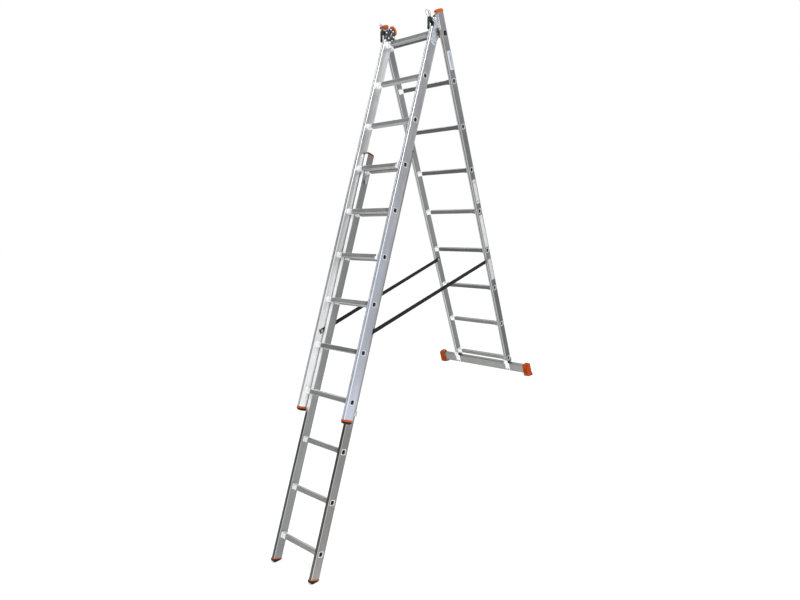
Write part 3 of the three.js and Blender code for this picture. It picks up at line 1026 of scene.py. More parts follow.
for part, section in SECTIONS.items():
    for i in range(RUNGS):
        lip = 0 if part == "front" and i == 0 else section.lip
        make(
            f"{part}_rung_tube_{i + 1}", rung(section, section.rung_z - PITCH * i, lip),
            section.seat,
            [
                f"aluminium_{part}_rung", "aluminium_swaged", f"tube_bore_{part}",
                "aluminium_rolled_lip",
            ],
            f"{part}_rung_{i + 1}", slot="aluminium", sharp=38,
        )

# black plugs close the ends of the axle rung
PLUG = [(220, -0.6), (237.6, -0.2), (238.6, 1.6), (239.6, 1.4), (240.0, 0.4)]  # x, growth
both(
    "axle_plug",
    join(
        loft_along("x", [(x, rounded_rect(0, 0, 13.4 + g, 13.4 + g, 3.6, 3)) for x, g in PLUG]),
        lathe([(4.0, -0.5), (4.0, 0.5), (3.2, 0.9)], (240.0, 0, 0), (1, 0, 0), 16),
    ),
    ON_REAR, "black_plastic", slot="black_rubber",
)


# ------------------------------------------------------------------ feet and caps
def dome(box, z, rise, radius, out, flat, steps=7):
    """A rounded block on a tube end: full size at z, rolling in over the rise to
    a flat that keeps the given part of its depth. A negative rise points down."""
    x0, x1, y0, y1 = box
    half_x, half_y = (x1 - x0) / 2 + out, (y1 - y0) / 2 + out
    stations = []
    for i in range(steps + 1):
        angle = (math.pi / 2) * i / steps
        k = 1 - math.cos(angle)
        rx, ry = half_x * (1 - 0.42 * k), half_y * (1 - (1 - flat) * k)
        corner = min(radius + 2 * k, rx - 0.5, ry - 0.5)
        outline = rounded_rect((x0 + x1) / 2, (y0 + y1) / 2, rx, ry, corner)
        stations.append((z + rise * math.sin(angle), outline))
    return loft_along("z", stations)


def collar(box, low, high, out, radius):
    """A band round a stile end with softly rolled edges."""
    x0, x1, y0, y1 = box
    cx, cy = (x0 + x1) / 2, (y0 + y1) / 2
    half_x, half_y = (x1 - x0) / 2, (y1 - y0) / 2
    # part of the height, part of the overhang
    profile = [(0, -0.9), (0.06, 0.5), (0.2, 1), (0.5, 1.12), (0.8, 1), (0.94, 0.6), (1, -0.6)]
    return loft_along("z", [
        (low + (high - low) * t, rounded_rect(cx, cy, half_x + out * k, half_y + out * k, radius, 5))
        for t, k in profile
    ])


def grooves(centres, level, mouth, floor, depth):
    """Cross grooves along a sole; mouth and floor are half widths."""
    points = []
    for c in centres:
        points += [
            (c - mouth, level(c - mouth)), (c - floor, level(c) + depth),
            (c + floor, level(c) + depth), (c + mouth, level(c + mouth)),
        ]
    return points


# front section: orange band above a black domed sole
both(
    "front_foot_band", collar(FRONT_BOX, FRONT_FOOT - 11.5, FRONT_FOOT - 0.2, 1.5, 7.0),
    ON_FRONT, "orange_plastic", "front_foot_cap", sharp=50,
)
both(
    "front_foot_sole",
    dome(FRONT_BOX, FRONT_FOOT - 11.3, rise=-13.6, radius=6.5, out=0.6, flat=0.42),
    ON_FRONT, "black_rubber", sharp=60,
)


def extension_sole():
    """A sole that is level when the ladder stands, with three grooves."""

    def level(y):
        return -20 + (y - (SET_BACK - EXT_Y0)) * math.tan(FRONT_LEAN)

    # y from the stile's front, z from its end
    points = [
        (-1.3, -5.0), (-1.4, -9), (-0.2, -13.2), (2.6, -16.6), (6.4, -20.2), (10.6, -22.4),
        (15, -23.8), (19, level(19)),
        *grooves((23, 30.5, 38), level, mouth=1.4, floor=0.9, depth=1.8),
        (42, level(42)), (48, -13.6), (54, -10.2), (60, -7.0), (63.2, -5.0),
    ]
    return prism("x", offset(points, EXT_Y0, EXT_FOOT), 156.1, 179.9)


both(
    "extension_foot_sole", extension_sole(), ON_EXTENSION, "black_rubber", "extension_foot",
    bevel=3.4, seg=4, sharp=50, angle=50,
)
both(
    "extension_foot_band", collar(EXT_BOX, EXT_FOOT - 5.6, EXT_FOOT - 0.2, 1.3, 5.5),
    ON_EXTENSION, "orange_plastic", sharp=50,
)
both(
    "extension_top_band", collar(EXT_BOX, EXT_TOP + 0.2, EXT_TOP + 3.4, 0.7, 5.5),
    ON_EXTENSION, "orange_plastic", "extension_top_cap", sharp=50,
)
both(
    "extension_top_pad",
    dome(EXT_BOX, EXT_TOP + 3.2, rise=11.8, radius=5.5, out=0.4, flat=0.5),
    ON_EXTENSION, "black_rubber", sharp=60,
)

# rear section: orange cap with a nose at the front that overhangs the hinge plate
REAR_CAP = [  # y, z from the stile's top
    (-27.8, 0.4), (27.3, 0.4), (27.4, 5), (26.2, 10), (22.8, 14.8), (16.5, 18.2), (8, 19.7),
    (-6, 19.9), (-17, 19.0), (-25.5, 16.4), (-31.5, 13.0), (-35.4, 9.4), (-35.6, 7.2),
    (-32.6, 5.6), (-29.6, 4.4),
]
both(
    "rear_top_cap_shell", prism("x", offset(REAR_CAP, 0, REAR_TOP), 211.8, 239.3),
    ON_REAR, "orange_plastic", "rear_top_cap", bevel=3.4, seg=4, sharp=50, angle=60,
)
both(
    "rear_top_cap_insert",
    dome((216, 235, -15, 15), REAR_TOP + 19.2, rise=0.7, radius=3.0, out=0.0, flat=0.6),
    ON_REAR, "black_plastic", slot="orange_plastic", sharp=40,
)

# ------------------------------------------------------------------ front hinge brackets
# the leg hinge's axle in the front frame
TO_AXLE = REAR_ORIGIN - FRONT_ORIGIN
AXLE_Y = TO_AXLE.dot((-SLIDE).cross(Vector((1, 0, 0)))) * 1000
AXLE_Z = -TO_AXLE.dot(SLIDE) * 1000
PIN_Y, PIN_Z = -37.0, 64.0  # the lever's pin
# outlines in y, z
CHEEK_TOP = [
    (36, 96), (33.5, 104), (24, 111.5), (10, 115.2), (-8, 114.6), (-17, 110.6), (-21.5, 102),
    (-24, 86), (-31, 81), (-40, 76.4), (-46, 71.5), (-47.6, 63.5), (-45, 55.5), (-39, 51.4),
    (-24, 48),
]
OUTER_CHEEK_FOOT = [(-24, -72), (-19, -78), (13, -78), (18, -74), (30, -38), (38, -14)]
INNER_CHEEK_FOOT = [
    (-22, 27), (22, 27), (30, 31), (36, 40), (50, 43), (54, 50), (52, 59), (43, 63), (37, 70),
]
SLOT = [(0, 60), (4.5, 57.5), (9, 60), (12, 86), (7.5, 88.5), (3, 86)]
WEB = [
    (-20, 27.4), (-20, 25.0), (-17.6, 23.6), (-17.6, 27.0), (30, 27.0), (30, 23.6), (32, 25.0),
    (32, 30), (-18, 30),
]
EYE_COLLAR = [  # x, radius
    (207.5, 19.3), (212.0, 19.3), (212.6, 20.2), (212.4, 22.6), (211.4, 24.0), (210.0, 24.4),
    (207.5, 24.4),
]
OUTER_RIVETS = [(-14, -62), (8, -62), (-12, -22), (14, 100), (PIN_Y, PIN_Z), (-6, 46)]
INNER_RIVETS = [(14, 100), (PIN_Y, PIN_Z), (-10, 42), (22, 42), (-8, 103), (27, 70)]
HOOD = [
    (38, 84), (45, 92), (47.5, 104), (43.5, 117), (34, 127.5), (20, 133.5), (6, 134),
    (-6, 129.5), (-12, 121), (-10, 116.6), (-4, 118.6), (8, 120.4), (20, 119.6), (29.5, 115),
    (36.4, 106.5), (38.2, 97),
]


def outer_cheek():
    """Zinc plate on the stile's outer side, closing round the axle."""
    angles = [rad(a) for a in range(-88, 76, 12)]
    eye = [(AXLE_Y + 26.6 * math.cos(a), AXLE_Z + 26.6 * math.sin(a)) for a in angles]
    return prism("x", OUTER_CHEEK_FOOT + eye + [(46, 58)] + CHEEK_TOP, 207.4, 210.4)


def hinge_frame():
    """The web over the stile top with turned-down lips, a tie and the lever's pin."""
    return join(
        prism("x", WEB, 182.8, 207.2),
        lathe([(6, 0), (6, 25.4)], (182.2, 14, 100), (1, 0, 0), 20),
        lathe([(4, 0), (4, 27.6)], (181.0, PIN_Y, PIN_Z), (1, 0, 0), 16),
    )


slot_cut = prism("x", SLOT, 170, 220)
eye_cut = prism("x", circle(AXLE_Y, AXLE_Z, 19.0, 40), 203, 216)
both(
    "hinge_cheek_outer", outer_cheek(), ON_FRONT, "zinc_plate", "hinge_bracket",
    cuts=[slot_cut, eye_cut], bevel=0.7,
)
# a rolled collar round the eye
both(
    "hinge_eye_collar",
    loft_along("x", [(x, circle(AXLE_Y, AXLE_Z, r, 40)) for x, r in EYE_COLLAR], closed=True),
    ON_FRONT, "zinc_dull", sharp=40,
)
both(
    "hinge_cheek_inner", prism("x", INNER_CHEEK_FOOT + CHEEK_TOP, 179.6, 182.6),
    ON_FRONT, "dark_cheek", cuts=[slot_cut], bevel=0.7,
)
both("hinge_frame", hinge_frame(), ON_FRONT, "zinc_dull", bevel=0.5, seg=1)
both(
    "hinge_fasteners_outer",
    join(
        *[rivet((210.3, y, z), (1, 0, 0), 5.0, 2.6) for y, z in OUTER_RIVETS],
        bolt((210.2, -6, 10), (1, 0, 0), radius=5.6, height=4.4, washer=9.0),
    ),
    ON_FRONT, "bolt_steel", sharp=40,
)
both(
    "hinge_fasteners_inner",
    join(*[rivet((179.7, y, z), (-1, 0, 0), 5.2, 2.8) for y, z in INNER_RIVETS]),
    ON_FRONT, "aluminium_swaged", sharp=40,
)

# ------------------------------------------------------------------ hinge levers
# places are measured from the lever's pin
LEVER = [  # y, z
    (8, -5), (9, 0), (8, 5), (3, 9), (-10, 9.0), (-24, 6), (-32, 1), (-36.4, -5), (-36.6, -15),
    (-30.5, -32), (-19.4, -63), (-16.8, -68), (-7.5, -68), (-6.2, -62), (-17, -28), (-19, -19),
    (-13, -14), (-5, -9),
]
GRIP = [  # z, y, half size in x, half size in y
    (-69.5, -11.8, 4.6, 4.4), (-68, -12.2, 6.0, 5.6), (-62, -14.2, 6.4, 6.0),
    (-52, -17.4, 6.0, 5.6), (-40, -21.2, 5.8, 5.5), (-37, -22.2, 5.4, 5.2),
]
BAIL = [  # wire radius, then x, y, z along the wire
    (1.15, [
        (191.5, -30, -6), (191.0, -40, -4), (190.0, -54, 8), (189.5, -63, 20),
        (190.5, -58, 30), (192.0, -44, 29), (193, -30, 20), (193, -22, 6),
    ]),
    (1.15, [
        (198.5, -28, -5), (199.0, -36, 2), (200.0, -46, 14), (200.5, -48, 25),
        (199.0, -40, 32), (197.5, -28, 26), (197, -20, 6),
    ]),
    (1.5, [(188.5, -21, 6), (201.5, -21, 6)]),
]


def pivot_cut(y, z, start, end):
    return prism("x", circle(y, z, 4.4), start, end)


both(
    "hinge_lever_bar", prism("x", offset(LEVER, PIN_Y, PIN_Z), 190.3, 199.7),
    ON_LEVER, "dark_steel", "hinge_lock_lever",
    cuts=[pivot_cut(PIN_Y, PIN_Z, 180, 212)], bevel=1.4, seg=3,
)
both(
    "hinge_lever_grip",
    loft_along("z", [
        (PIN_Z + z, rounded_rect(195, PIN_Y + y, half_x, half_y, 2.4, 3))
        for z, y, half_x, half_y in GRIP
    ]),
    ON_LEVER, "black_plastic", sharp=45,
)
# the wire bail in front of each lever
both(
    "hinge_lever_bail",
    join(*[wire([(x, PIN_Y + y, PIN_Z + z) for x, y, z in line], r) for r, line in BAIL]),
    ON_LEVER, "black_plastic", sharp=60,
)
both(
    "hinge_side_knob",
    lathe(
        [(3.2, 0), (3.2, 4), (7.6, 4.2), (8.4, 5.4), (8.6, 12), (8.0, 13.6), (5.5, 14.2)],
        (179.8, 44, 52), (-1, 0, 0), 14,
    ),
    ON_FRONT, "black_plastic", sharp=30,
)
# orange hood over the top and back of each bracket
both(
    "hinge_release_cap", prism("x", HOOD, 178.4, 190), ON_FRONT, "orange_plastic",
    bevel=1.2, seg=3, angle=40, sharp=45,
)

# ------------------------------------------------------------------ rear hinge plates
# zinc angles with a slot, a dark tongue and a yellow leaf; outlines are x, z or y, z
PLATE_FACE = [(211.1, 22), (237, 22), (237, 105), (231, 112), (211.1, 112)]
PLATE_FLANGE = [(-28.3, 22), (12, 22), (16, 28), (16, 104), (10, 112), (-28.3, 112)]
TONGUE = [(213.2, 40), (218.8, 40), (218.2, 4), (216.8, -8), (214.2, -10), (213.0, 2)]
LEAF = [(226.5, 40), (232.0, 40), (231.4, 0), (230.2, -16), (227.6, -17), (226.2, -4)]
PLATE_RIVETS = [(216, 50), (229, 50), (231, 100), (215.5, 106), (216, 32), (229, 32)]
both(
    "rear_hinge_face", prism("y", PLATE_FACE, -28.3, -26.3), ON_REAR, "zinc_plate",
    "rear_hinge_plate", cuts=[prism("y", rounded_rect(222, 80, 4, 22, 3.6), -35, -20)], bevel=0.5,
)
both(
    "rear_hinge_flange", prism("x", PLATE_FLANGE, 211.1, 212.7), ON_REAR, "zinc_plate", bevel=0.5
)
both("rear_hinge_tongue", prism("y", TONGUE, -31.0, -28.4), ON_REAR, "dark_steel", bevel=0.6)
both(
    "rear_hinge_spring_leaf", prism("y", LEAF, -30.6, -28.4), ON_REAR, "yellow_chromate", bevel=0.5
)
both(
    "rear_hinge_fasteners",
    join(*[rivet((x, -28.2, z), (0, -1, 0), 4.0, 2.2) for x, z in PLATE_RIVETS]),
    ON_REAR, "bolt_steel", sharp=40,
)

# ------------------------------------------------------------------ guides and latches
# hooks at the front stiles' feet that reach round the back of the extension; x, y
GUIDE = [
    (181.4, 35.4), (206, 35.4), (206, 38), (184, 38), (184, EXT_Y1 + 3.4), (172, EXT_Y1 + 3.4),
    (172, EXT_Y1 + 0.9), (181.4, EXT_Y1 + 0.9),
]
both(
    "guide_hook", prism("z", GUIDE, -2316, -2286), ON_FRONT, "zinc_dull", "guide_bracket",
    bevel=1.1, seg=3,
)
both(
    "guide_rivets", join(*[rivet((195, 37.9, z), (0, 1, 0)) for z in (-2309, -2293)]),
    ON_FRONT, "bolt_steel", sharp=40,
)

# latches on the extension's inner sides; y, z from the pawl's pivot
PIVOT_Y, PIVOT_Z = 42.0, -DROP - 42
LATCH_PLATE_X = 156.7
LATCH_PLATE = [
    (-14, -16), (-12, -18), (22, -18), (25, -15), (27, 14), (25.5, 17), (17, 24), (-6, 24),
    (-10, 21), (-16, 10),
]
LATCH_RIVETS = [(-8, 15), (18, 14), (-8, -11), (19, -11)]
PAWL = [
    (-7, 4), (-4.5, 7), (0, 8), (4.5, 7), (7, 3), (11, -19), (14.8, -32), (14, -37), (10, -40),
    (5, -38.5), (1.5, -34), (-4, -16), (-6.6, -3),
]
both(
    "latch_plate",
    join(
        prism("x", offset(LATCH_PLATE, PIVOT_Y, PIVOT_Z), LATCH_PLATE_X - 2.5, LATCH_PLATE_X),
        lathe(
            [(4, 0), (4, 12.4), (3.4, 13)], (LATCH_PLATE_X - 0.5, PIVOT_Y, PIVOT_Z), (-1, 0, 0), 16
        ),
    ),
    ON_EXTENSION, "zinc_dull", "latch_bracket", bevel=0.6,
)
both(
    "latch_rivets",
    join(*[
        rivet((154.3, y, z), (-1, 0, 0), 3.8, 2.0)
        for y, z in offset(LATCH_RIVETS, PIVOT_Y, PIVOT_Z)
    ]),
    ON_EXTENSION, "bolt_steel", sharp=40,
)
both(
    "latch_pawl", prism("x", offset(PAWL, PIVOT_Y, PIVOT_Z), 146.7, 151.7),
    ON_LATCH, "zinc_dull", "rung_latch", slot="dark_steel",
    cuts=[pivot_cut(PIVOT_Y, PIVOT_Z, 140, 156)], bevel=0.9,
)

# saddles round the right ends of two front rungs; y, z from the rung's middle
SADDLE_WRAP = [
    (16.4, 15.5), (16.4, 18.4), (-15, 18.4), (-18.4, 15), (-18.4, -15), (-15, -18.4),
    (6, -18.4), (6, -15.5), (-13.6, -15.5), (-15.5, -13.6), (-15.5, 13.6), (-13.6, 15.5),
]
SADDLE_EAR = [(-18.2, 8), (-23.5, 6), (-26, 0), (-23.5, -6), (-18.2, -8)]
for number in (4, 6):
    z = -PITCH * (number - 1)
    make(
        f"rung_saddle_{number}",
        join(
            prism("x", offset(SADDLE_WRAP, 0, z), 143, 166),
            prism("x", offset(SADDLE_EAR, 0, z), 147, 162),
        ),
        ON_FRONT, "clip_zinc", bevel=0.9,
    )
    screw = [(4.6, 0), (4.6, 2.4), (3.6, 3.2)]
    stud = [(3.4, 0), (3.4, 7.5), (4.6, 8), (4.6, 11), (3.2, 12)]
    make(
        f"rung_saddle_screw_{number}",
        join(
            lathe(screw, (154.5, -25.4, z + 2), (0, -1, 0), 16),
            lathe(stud, (158, -4, z - 17.5), (0, 0, -1), 14),
        ),
        ON_FRONT, "dark_steel", sharp=40,
    )

# ------------------------------------------------------------------ stabiliser
BAR_END = 378
CLAMP_X = 225.5


def bar_section(growth):
    """Tube with round corners and shallow ribs along its front and back."""
    half_y, radius = 15 + growth, 3.2 + growth * 0.8
    middle, half_z = (BAR_BOTTOM + BAR_TOP) / 2, 30 + growth
    points = arc(half_y - radius, middle - half_z + radius, radius, -90, 3)
    for rib in (middle - 18, middle, middle + 18):
        points += [
            (half_y, rib - 3), (half_y - 0.7, rib - 2), (half_y - 0.7, rib + 2), (half_y, rib + 3),
        ]
    points += arc(half_y - radius, middle + half_z - radius, radius, 0, 3)
    return with_half_turn(points, 0, middle)


def bar():
    outside, inside = bar_section(0), bar_section(-1.8)
    stations = [(-BAR_END, outside), (BAR_END, outside), (BAR_END, inside), (-BAR_END, inside)]
    return loft_along("x", stations, closed=True)


def clamp():
    """A strap under the bar, and an angle at its front and at its back."""
    gap, reach = 15.4, 26.0
    strap_outline = [
        (-gap - 2.5, BAR_TOP + 2.6), (-gap - 2.5, BAR_BOTTOM - 1.4),
        (-gap - 1.2, BAR_BOTTOM - 2.9), (gap + 1.2, BAR_BOTTOM - 2.9),
        (gap + 2.5, BAR_BOTTOM - 1.4), (gap + 2.5, BAR_TOP + 2.6), (gap, BAR_TOP + 2.6),
        (gap, BAR_BOTTOM - 0.4), (-gap, BAR_BOTTOM - 0.4), (-gap, BAR_TOP + 2.6),
    ]
    angle_outline = [
        (gap + 0.2, BAR_TOP + 0.6), (reach + 2.8, BAR_TOP + 0.6), (reach + 2.8, BAR_TOP + 30),
        (reach + 0.4, BAR_TOP + 30), (reach + 0.4, BAR_TOP + 3.0), (gap + 0.2, BAR_TOP + 3.0),
    ]
    front_outline = [(-y, z) for y, z in reversed(angle_outline)]
    return join(
        prism("x", strap_outline, CLAMP_X - 18, CLAMP_X + 18),
        prism("x", front_outline, CLAMP_X - 16, CLAMP_X + 16),
        prism("x", angle_outline, CLAMP_X - 16, CLAMP_X + 16),
    )


def clamp_bolts():
    nut = [(4.4, -0.4), (4.4, 3.4), (3.2, 3.8), (3.2, 7.4), (2.6, 8)]
    stud = [(3.0, 0), (3.0, 7.2), (2.4, 8)]
    z = BAR_BOTTOM + 11
    shapes = []
    for x in (CLAMP_X - 8, CLAMP_X + 8):
        shapes.append(bolt((x, -17.8, z), (0, -1, 0), radius=4.6, height=5.0, washer=6.6))
        shapes.append(lathe(nut, (x, 17.8, z), (0, 1, 0), 12))
        shapes.append(lathe(stud, (x, -7, BAR_BOTTOM - 2.6), (0, 0, -1), 12))
    for x, z in ((CLAMP_X + 6, BAR_TOP + 12), (CLAMP_X - 6, BAR_TOP + 22)):
        for face in (-1, 1):
            shapes.append(rivet((x, face * 28.7, z), (0, face, 0), 3.6, 2.0))
    return join(*shapes)


def ground(y):
    """Height of the sole, level when the ladder stands."""
    return BAR_BOTTOM - 24 - y * math.tan(REAR_LEAN)


def end_foot():
    """Orange moulding over the bar's end, with a slanted front and a heel."""
    points = [
        (-20.5, BAR_TOP + 8), (-23.6, BAR_TOP - 2), (-24.6, BAR_TOP - 12), (-24.0, BAR_TOP - 30),
        (-25.2, BAR_BOTTOM - 4), (-26, ground(-26) + 6), (-20, ground(-20) + 6),
        (24, ground(24) + 6), (29, ground(29) + 5), (31.8, ground(32) + 8),
        (30.5, BAR_BOTTOM - 14), (23, BAR_BOTTOM - 6), (21.5, BAR_TOP - 20), (21, BAR_TOP + 8),
    ]
    return prism("x", points, 360.2, 397.8)


def foot_ribs():
    points = [
        (-25.3, BAR_TOP - 10), (-26.6, BAR_TOP - 14), (-26.6, BAR_BOTTOM + 4),
        (-25.3, BAR_BOTTOM), (-22, BAR_BOTTOM + 2), (-22, BAR_TOP - 12),
    ]
    return join(*[prism("x", points, x - 1.6, x + 1.6) for x in (366, 374, 382, 390)])


def end_pad():
    """Black rubber sole with cross grooves."""

    def sole(y):
        return ground(y) + 0.05

    points = [
        (-24.5, ground(-24.5) + 6.4), (-24.5, ground(-24.5) + 1.2), (-23.4, sole(-23.4)),
        *grooves((-16, -8, 0, 8, 16, 24), sole, mouth=1.5, floor=1.0, depth=1.95),
        (29.4, sole(29.4)), (30.2, ground(30) + 1.2), (30.2, ground(30) + 7.0),
        (27, ground(27) + 6.4),
    ]
    return prism("x", points, 361.0, 397.0)


make(
    "stabiliser_bar_tube", bar(), ON_REAR, "aluminium_bar", "stabiliser_bar",
    slot="aluminium", sharp=38,
)
both("stabiliser_clamp", clamp(), ON_REAR, "aluminium_clamp", "stabiliser_bracket", bevel=0.8)
both("stabiliser_clamp_bolts", clamp_bolts(), ON_REAR, "bolt_steel", sharp=35)
SOCKET = [(348, -15.3), (378.3, -15.3), (378.3, 15.3), (348, 15.3)]  # x, y
both(
    "stabiliser_end_shell", end_foot(), ON_REAR, "orange_plastic_foot", "stabiliser_foot",
    cuts=[prism("z", SOCKET, BAR_BOTTOM - 0.3, BAR_TOP + 0.3)],
    bevel=2.6, seg=3, angle=35, sharp=50,
)
both("stabiliser_end_ribs", foot_ribs(), ON_REAR, "orange_plastic_foot", bevel=0.6, sharp=50)
both("stabiliser_end_pad", end_pad(), ON_REAR, "black_rubber", bevel=0.5, sharp=40)
both(
    "stabiliser_end_screw",
    lathe([(5.0, -0.4), (5.0, 0.8), (3.8, 2.0), (1.6, 2.6)], (371, 0, BAR_TOP + 7.9), (0, 0, 1), 18),
    ON_REAR, "bolt_steel", sharp=40,
)

# ------------------------------------------------------------------ stickers
LABEL_X, LABEL_WIDTH = 237.0, 35.6
LABELS = [  # middle z, length, material
    (-158, 112, "blank_film"),
    (-987, 164, "blank_film_grey"),
    (-1262, 228, "blank_film_panel"),
    (-1541, 150, "blank_film_stripes"),
]


def sticker(name, z, length, material):
    """A thin film with round corners on the right rear stile's outer side."""
    shape = loft_along("x", [
        (LABEL_X + 0.03, rounded_rect(0, z, LABEL_WIDTH / 2, length / 2, 3.0)),
        (LABEL_X + 0.28, rounded_rect(0, z, LABEL_WIDTH / 2 - 0.05, length / 2 - 0.05, 2.95)),
    ])
    piece = make(name, shape, (REAR, None), material, sharp=30)
    places = [item.vector for item in piece.data.attributes["lc"].data]
    add_vectors(piece.data, "uvw", [
        ((z + length / 2 - place[2]) / length, place[1] / LABEL_WIDTH, 0.0) for place in places
    ])
    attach(piece, "rear_section")


for number, label in enumerate(LABELS, 1):
    sticker(f"blank_label_{number}", *label)

# ------------------------------------------------------------------ straps
HALF_WEB, HALF_THICK = 12.5, 0.7
WEB_COLUMNS, WEB_ROWS = 8, 90
STRAP_START, STRAP_END = 62, 42  # straight parts before and after the sideways run
# stitched box with a cross: (along, across) at both ends of each seam
SEAMS = [
    (0, -8, 26, -8), (0, 8, 26, 8), (0, -8, 0, 8), (26, -8, 26, 8), (0, -8, 26, 8), (0, 8, 26, -8),
]
ANCHOR = [(10.5, -0.2), (10.5, 0.9), (9.6, 1.4), (4.8, 1.4), (4.8, 2.0), (4.0, 2.5)]


def leg_point(x, origin, down, lean):
    """A point in row-frame millimetres; lean is positive towards the back."""
    y, z = origin.y * 1000, origin.z * 1000
    return Vector((x, y + down * math.sin(lean), z - down * math.cos(lean)))


FRONT_END = leg_point(181.8, FRONT_ORIGIN, 1876, -FRONT_LEAN)
REAR_END = leg_point(211.7, REAR_ORIGIN, 1481, REAR_LEAN)
RUN = Vector((0, REAR_END.y - FRONT_END.y, REAR_END.z - FRONT_END.z))
LENGTH = RUN.length
RUN.normalize()
ACROSS = Vector((0, -RUN.z, RUN.y))


def strap_x(along):
    """The strap crosses the gap between the stiles along its run."""
    part = (along - STRAP_START) / (LENGTH - STRAP_END - STRAP_START)
    return FRONT_END.x + (REAR_END.x - FRONT_END.x) * min(1.0, max(0.0, part))


def webbing(side, sign):
    """Webbing pulled tight between the legs, doubled at both ends."""
    stops = [-14, -8, -2]
    stops += [4 + (LENGTH - 8) * i / WEB_ROWS for i in range(WEB_ROWS + 1)]
    stops += [LENGTH + 2, LENGTH + 8, LENGTH + 14]
    rings, weave_places = [], []
    for along in stops:
        thick = HALF_THICK * (2.0 if along < 46 or along > LENGTH - 46 else 1.0)
        if along < -10 or along > LENGTH + 10:
            thick = HALF_THICK * 1.2
        base = FRONT_END + RUN * along
        ring = []
        for face in (1, -1):
            for i in range(WEB_COLUMNS + 1):
                across = face * (-HALF_WEB + 2 * HALF_WEB * i / WEB_COLUMNS)
                edge = 1 - 0.35 * (abs(across) / HALF_WEB) ** 6
                x = strap_x(along) + face * thick * edge
                ring.append((x * sign, base.y + ACROSS.y * across, base.z + ACROSS.z * across))
                weave_places.append((along, across, 0.0))
        rings.append(ring)
    piece = make(f"strap_webbing_{side}", loft(rings), (PLAIN, None), "webbing", sharp=40)
    add_vectors(piece.data, "uvw", weave_places)
    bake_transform(piece)
    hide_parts(f"strap_{side}")


def stitching(begin, sign):
    """A stitched box on both faces of the strap."""
    middle_x = strap_x(begin + 13)
    stitches = []
    for a0, b0, a1, b1 in SEAMS:
        count = max(2, int(math.hypot(a1 - a0, b1 - b0) / 4.2))
        for i in range(count):
            f0, f1 = (i + 0.12) / count, (i + 0.78) / count
            p0 = (begin + a0 + (a1 - a0) * f0, b0 + (b1 - b0) * f0)
            p1 = (begin + a0 + (a1 - a0) * f1, b0 + (b1 - b0) * f1)
            middle = ((p0[0] + p1[0]) / 2, (p0[1] + p1[1]) / 2)
            for face in (-1, 1):
                points = []
                for (along, across), lift in ((p0, -0.1), (middle, 0.25), (p1, -0.1)):
                    place = FRONT_END + RUN * along + ACROSS * across
                    points.append(((middle_x + face * (1.4 + lift)) * sign, place.y, place.z))
                stitches.append(wire(points, 0.32, sides=5, smooth=2))
    return join(*stitches)


coated("grey_thread", (0.05, 0.05, 0.052), rough=0.8)
for side, sign in SIDES:
    webbing(side, sign)
    for end, begin in (("front", 18), ("rear", LENGTH - 44)):
        make(
            f"strap_stitching_{end}_{side}", stitching(begin, sign), (PLAIN, f"{end}_section"),
            "grey_thread", sharp=60,
        )
    # an anchor screw with a broad washer at each end
    for end, place in (("front", FRONT_END + RUN * 2), ("rear", REAR_END - RUN * 2)):
        make(
            f"strap_anchor_{end}_{side}",
            lathe(ANCHOR, ((place.x - 1.5) * sign, place.y, place.z), (-sign, 0, 0), 24),
            (PLAIN, f"{end}_section"), "bolt_steel", sharp=40,
        )

# ------------------------------------------------------------------ world
BASE_LIGHT, LEAST_LIGHT = 0.42, 0.02
LOBES = [  # direction, power (higher is narrower), strength
    ((0.64, -0.77, 0.05), 3.0, 0.85),
    ((0.64, 0.77, 0.0), 3.0, 0.16),
    ((0.0, 0.2, 1.0), 2.5, 0.45),
    ((-0.64, 0.55, 0.55), 3.0, 0.45),
    ((-0.64, -0.60, 0.45), 4.0, -0.20),
    ((-1.0, 0.15, -0.05), 4.0, -0.25),
]


def world_light():
    """Soft lobes of light; the camera itself sees plain white."""
    scene.world = bpy.data.worlds.new("soft_studio")
    tree = Nodes(scene.world, "OutputWorld")
    generated = tree.add("TexCoord").outputs["Generated"]
    unit = tree.add("VectorMath", {0: generated}, operation="NORMALIZE").outputs[0]

    def lobe(direction, power, strength):
        inputs = {0: unit, 1: Vector(direction).normalized()}
        facing = tree.add("VectorMath", inputs, operation="DOT_PRODUCT").outputs["Value"]
        return tree.times(tree.math("POWER", tree.math("MAXIMUM", facing, 0.0), power), strength)

    total = tree.plus(*[lobe(*values) for values in LOBES], BASE_LIGHT)
    total = tree.math("MAXIMUM", total, LEAST_LIGHT)
    light = tree.add("Background", {"Color": (0.985, 0.992, 1.0, 1), "Strength": total})
    white = tree.add("Background", {"Color": (1, 1, 1, 1), "Strength": 1.0})
    seen = tree.add("LightPath").outputs["Is Camera Ray"]
    mix = tree.add("MixShader", {0: seen, 1: light.outputs[0], 2: white.outputs[0]})
    tree.feed(tree.output.inputs[0], mix.outputs[0])


world_light()


# ------------------------------------------------------------------ light and floor
def key_light(place, target, energy, size):
    light = bpy.data.lights.new("key", "AREA")
    light.shape, light.size, light.energy = "DISK", size, energy
    lamp = bpy.data.objects.new("key", light)
    scene.collection.objects.link(lamp)
    lamp.location = place
    lamp.rotation_euler = (Vector(target) - Vector(place)).to_track_quat("-Z", "Y").to_euler()


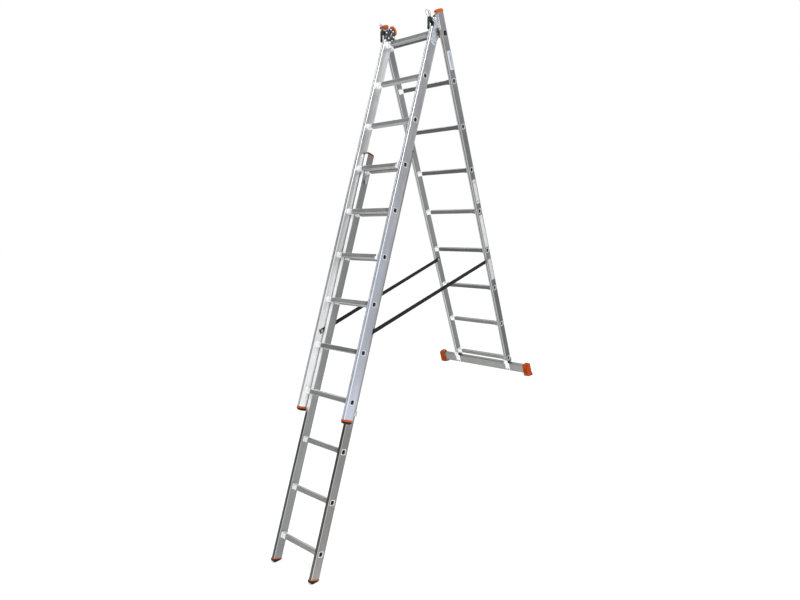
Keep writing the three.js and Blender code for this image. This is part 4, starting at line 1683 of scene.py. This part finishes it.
def pale_floor(reach):
    mesh = bpy.data.meshes.new("floor")
    corners = [(-reach, -reach, 0), (reach, -reach, 0), (reach, reach, 0), (-reach, reach, 0)]
    mesh.from_pydata(corners, [], [(0, 1, 2, 3)])
    floor = bpy.data.objects.new("floor", mesh)
    scene.collection.objects.link(floor)
    floor.location.z = -0.0006
    tree = new_material("pale_floor")
    place = tree.add("TexCoord").outputs["Object"]
    speck = tree.texture_noise(place, size=6.0, detail=3, rough=0.5)
    tree.surface(
        Base_Color=(0.83, 0.835, 0.84, 1),
        Roughness=0.9,
        Specular_IOR_Level=0.1,
        Emission_Color=(1, 1, 1, 1),
        Emission_Strength=tree.spread(speck, 0.395, 0.405),
    )
    mesh.materials.append(MATERIALS["pale_floor"])


key_light(place=(3.4, -2.2, 5.2), target=(0, 0, 1.4), energy=130, size=2.2)
pale_floor(reach=60.0)

# ------------------------------------------------------------------ camera
YAW, TILT, ROLL = rad(-42.634), rad(-6.628), rad(-0.1996)
CAMERA_FROM_RUNG = Vector((2.69533, -3.02132, -1.15867))  # from the first front rung


def add_camera():
    ahead = Vector(
        (math.sin(YAW) * math.cos(TILT), math.cos(YAW) * math.cos(TILT), math.sin(TILT))
    )
    right = Vector((math.cos(YAW), -math.sin(YAW), 0))
    up = right.cross(ahead)
    rolled_right = math.cos(ROLL) * right + math.sin(ROLL) * up
    rolled_up = -math.sin(ROLL) * right + math.cos(ROLL) * up
    data = bpy.data.cameras.new("camera")
    data.sensor_fit, data.sensor_width, data.lens = "HORIZONTAL", 36.0, 28.178
    data.clip_start, data.clip_end = 0.05, 300
    camera = bpy.data.objects.new("camera", data)
    scene.collection.objects.link(camera)
    matrix = Matrix.Identity(4)
    for i in range(3):
        matrix[i][0], matrix[i][1], matrix[i][2] = rolled_right[i], rolled_up[i], -ahead[i]
    matrix.translation = FRONT_ORIGIN + CAMERA_FROM_RUNG
    camera.matrix_world = matrix
    scene.camera = camera


add_camera()
scene.view_settings.view_transform = "Standard"
scene.view_settings.look = "None"
scene.view_settings.exposure = 0.0
scene.view_settings.gamma = 1.0
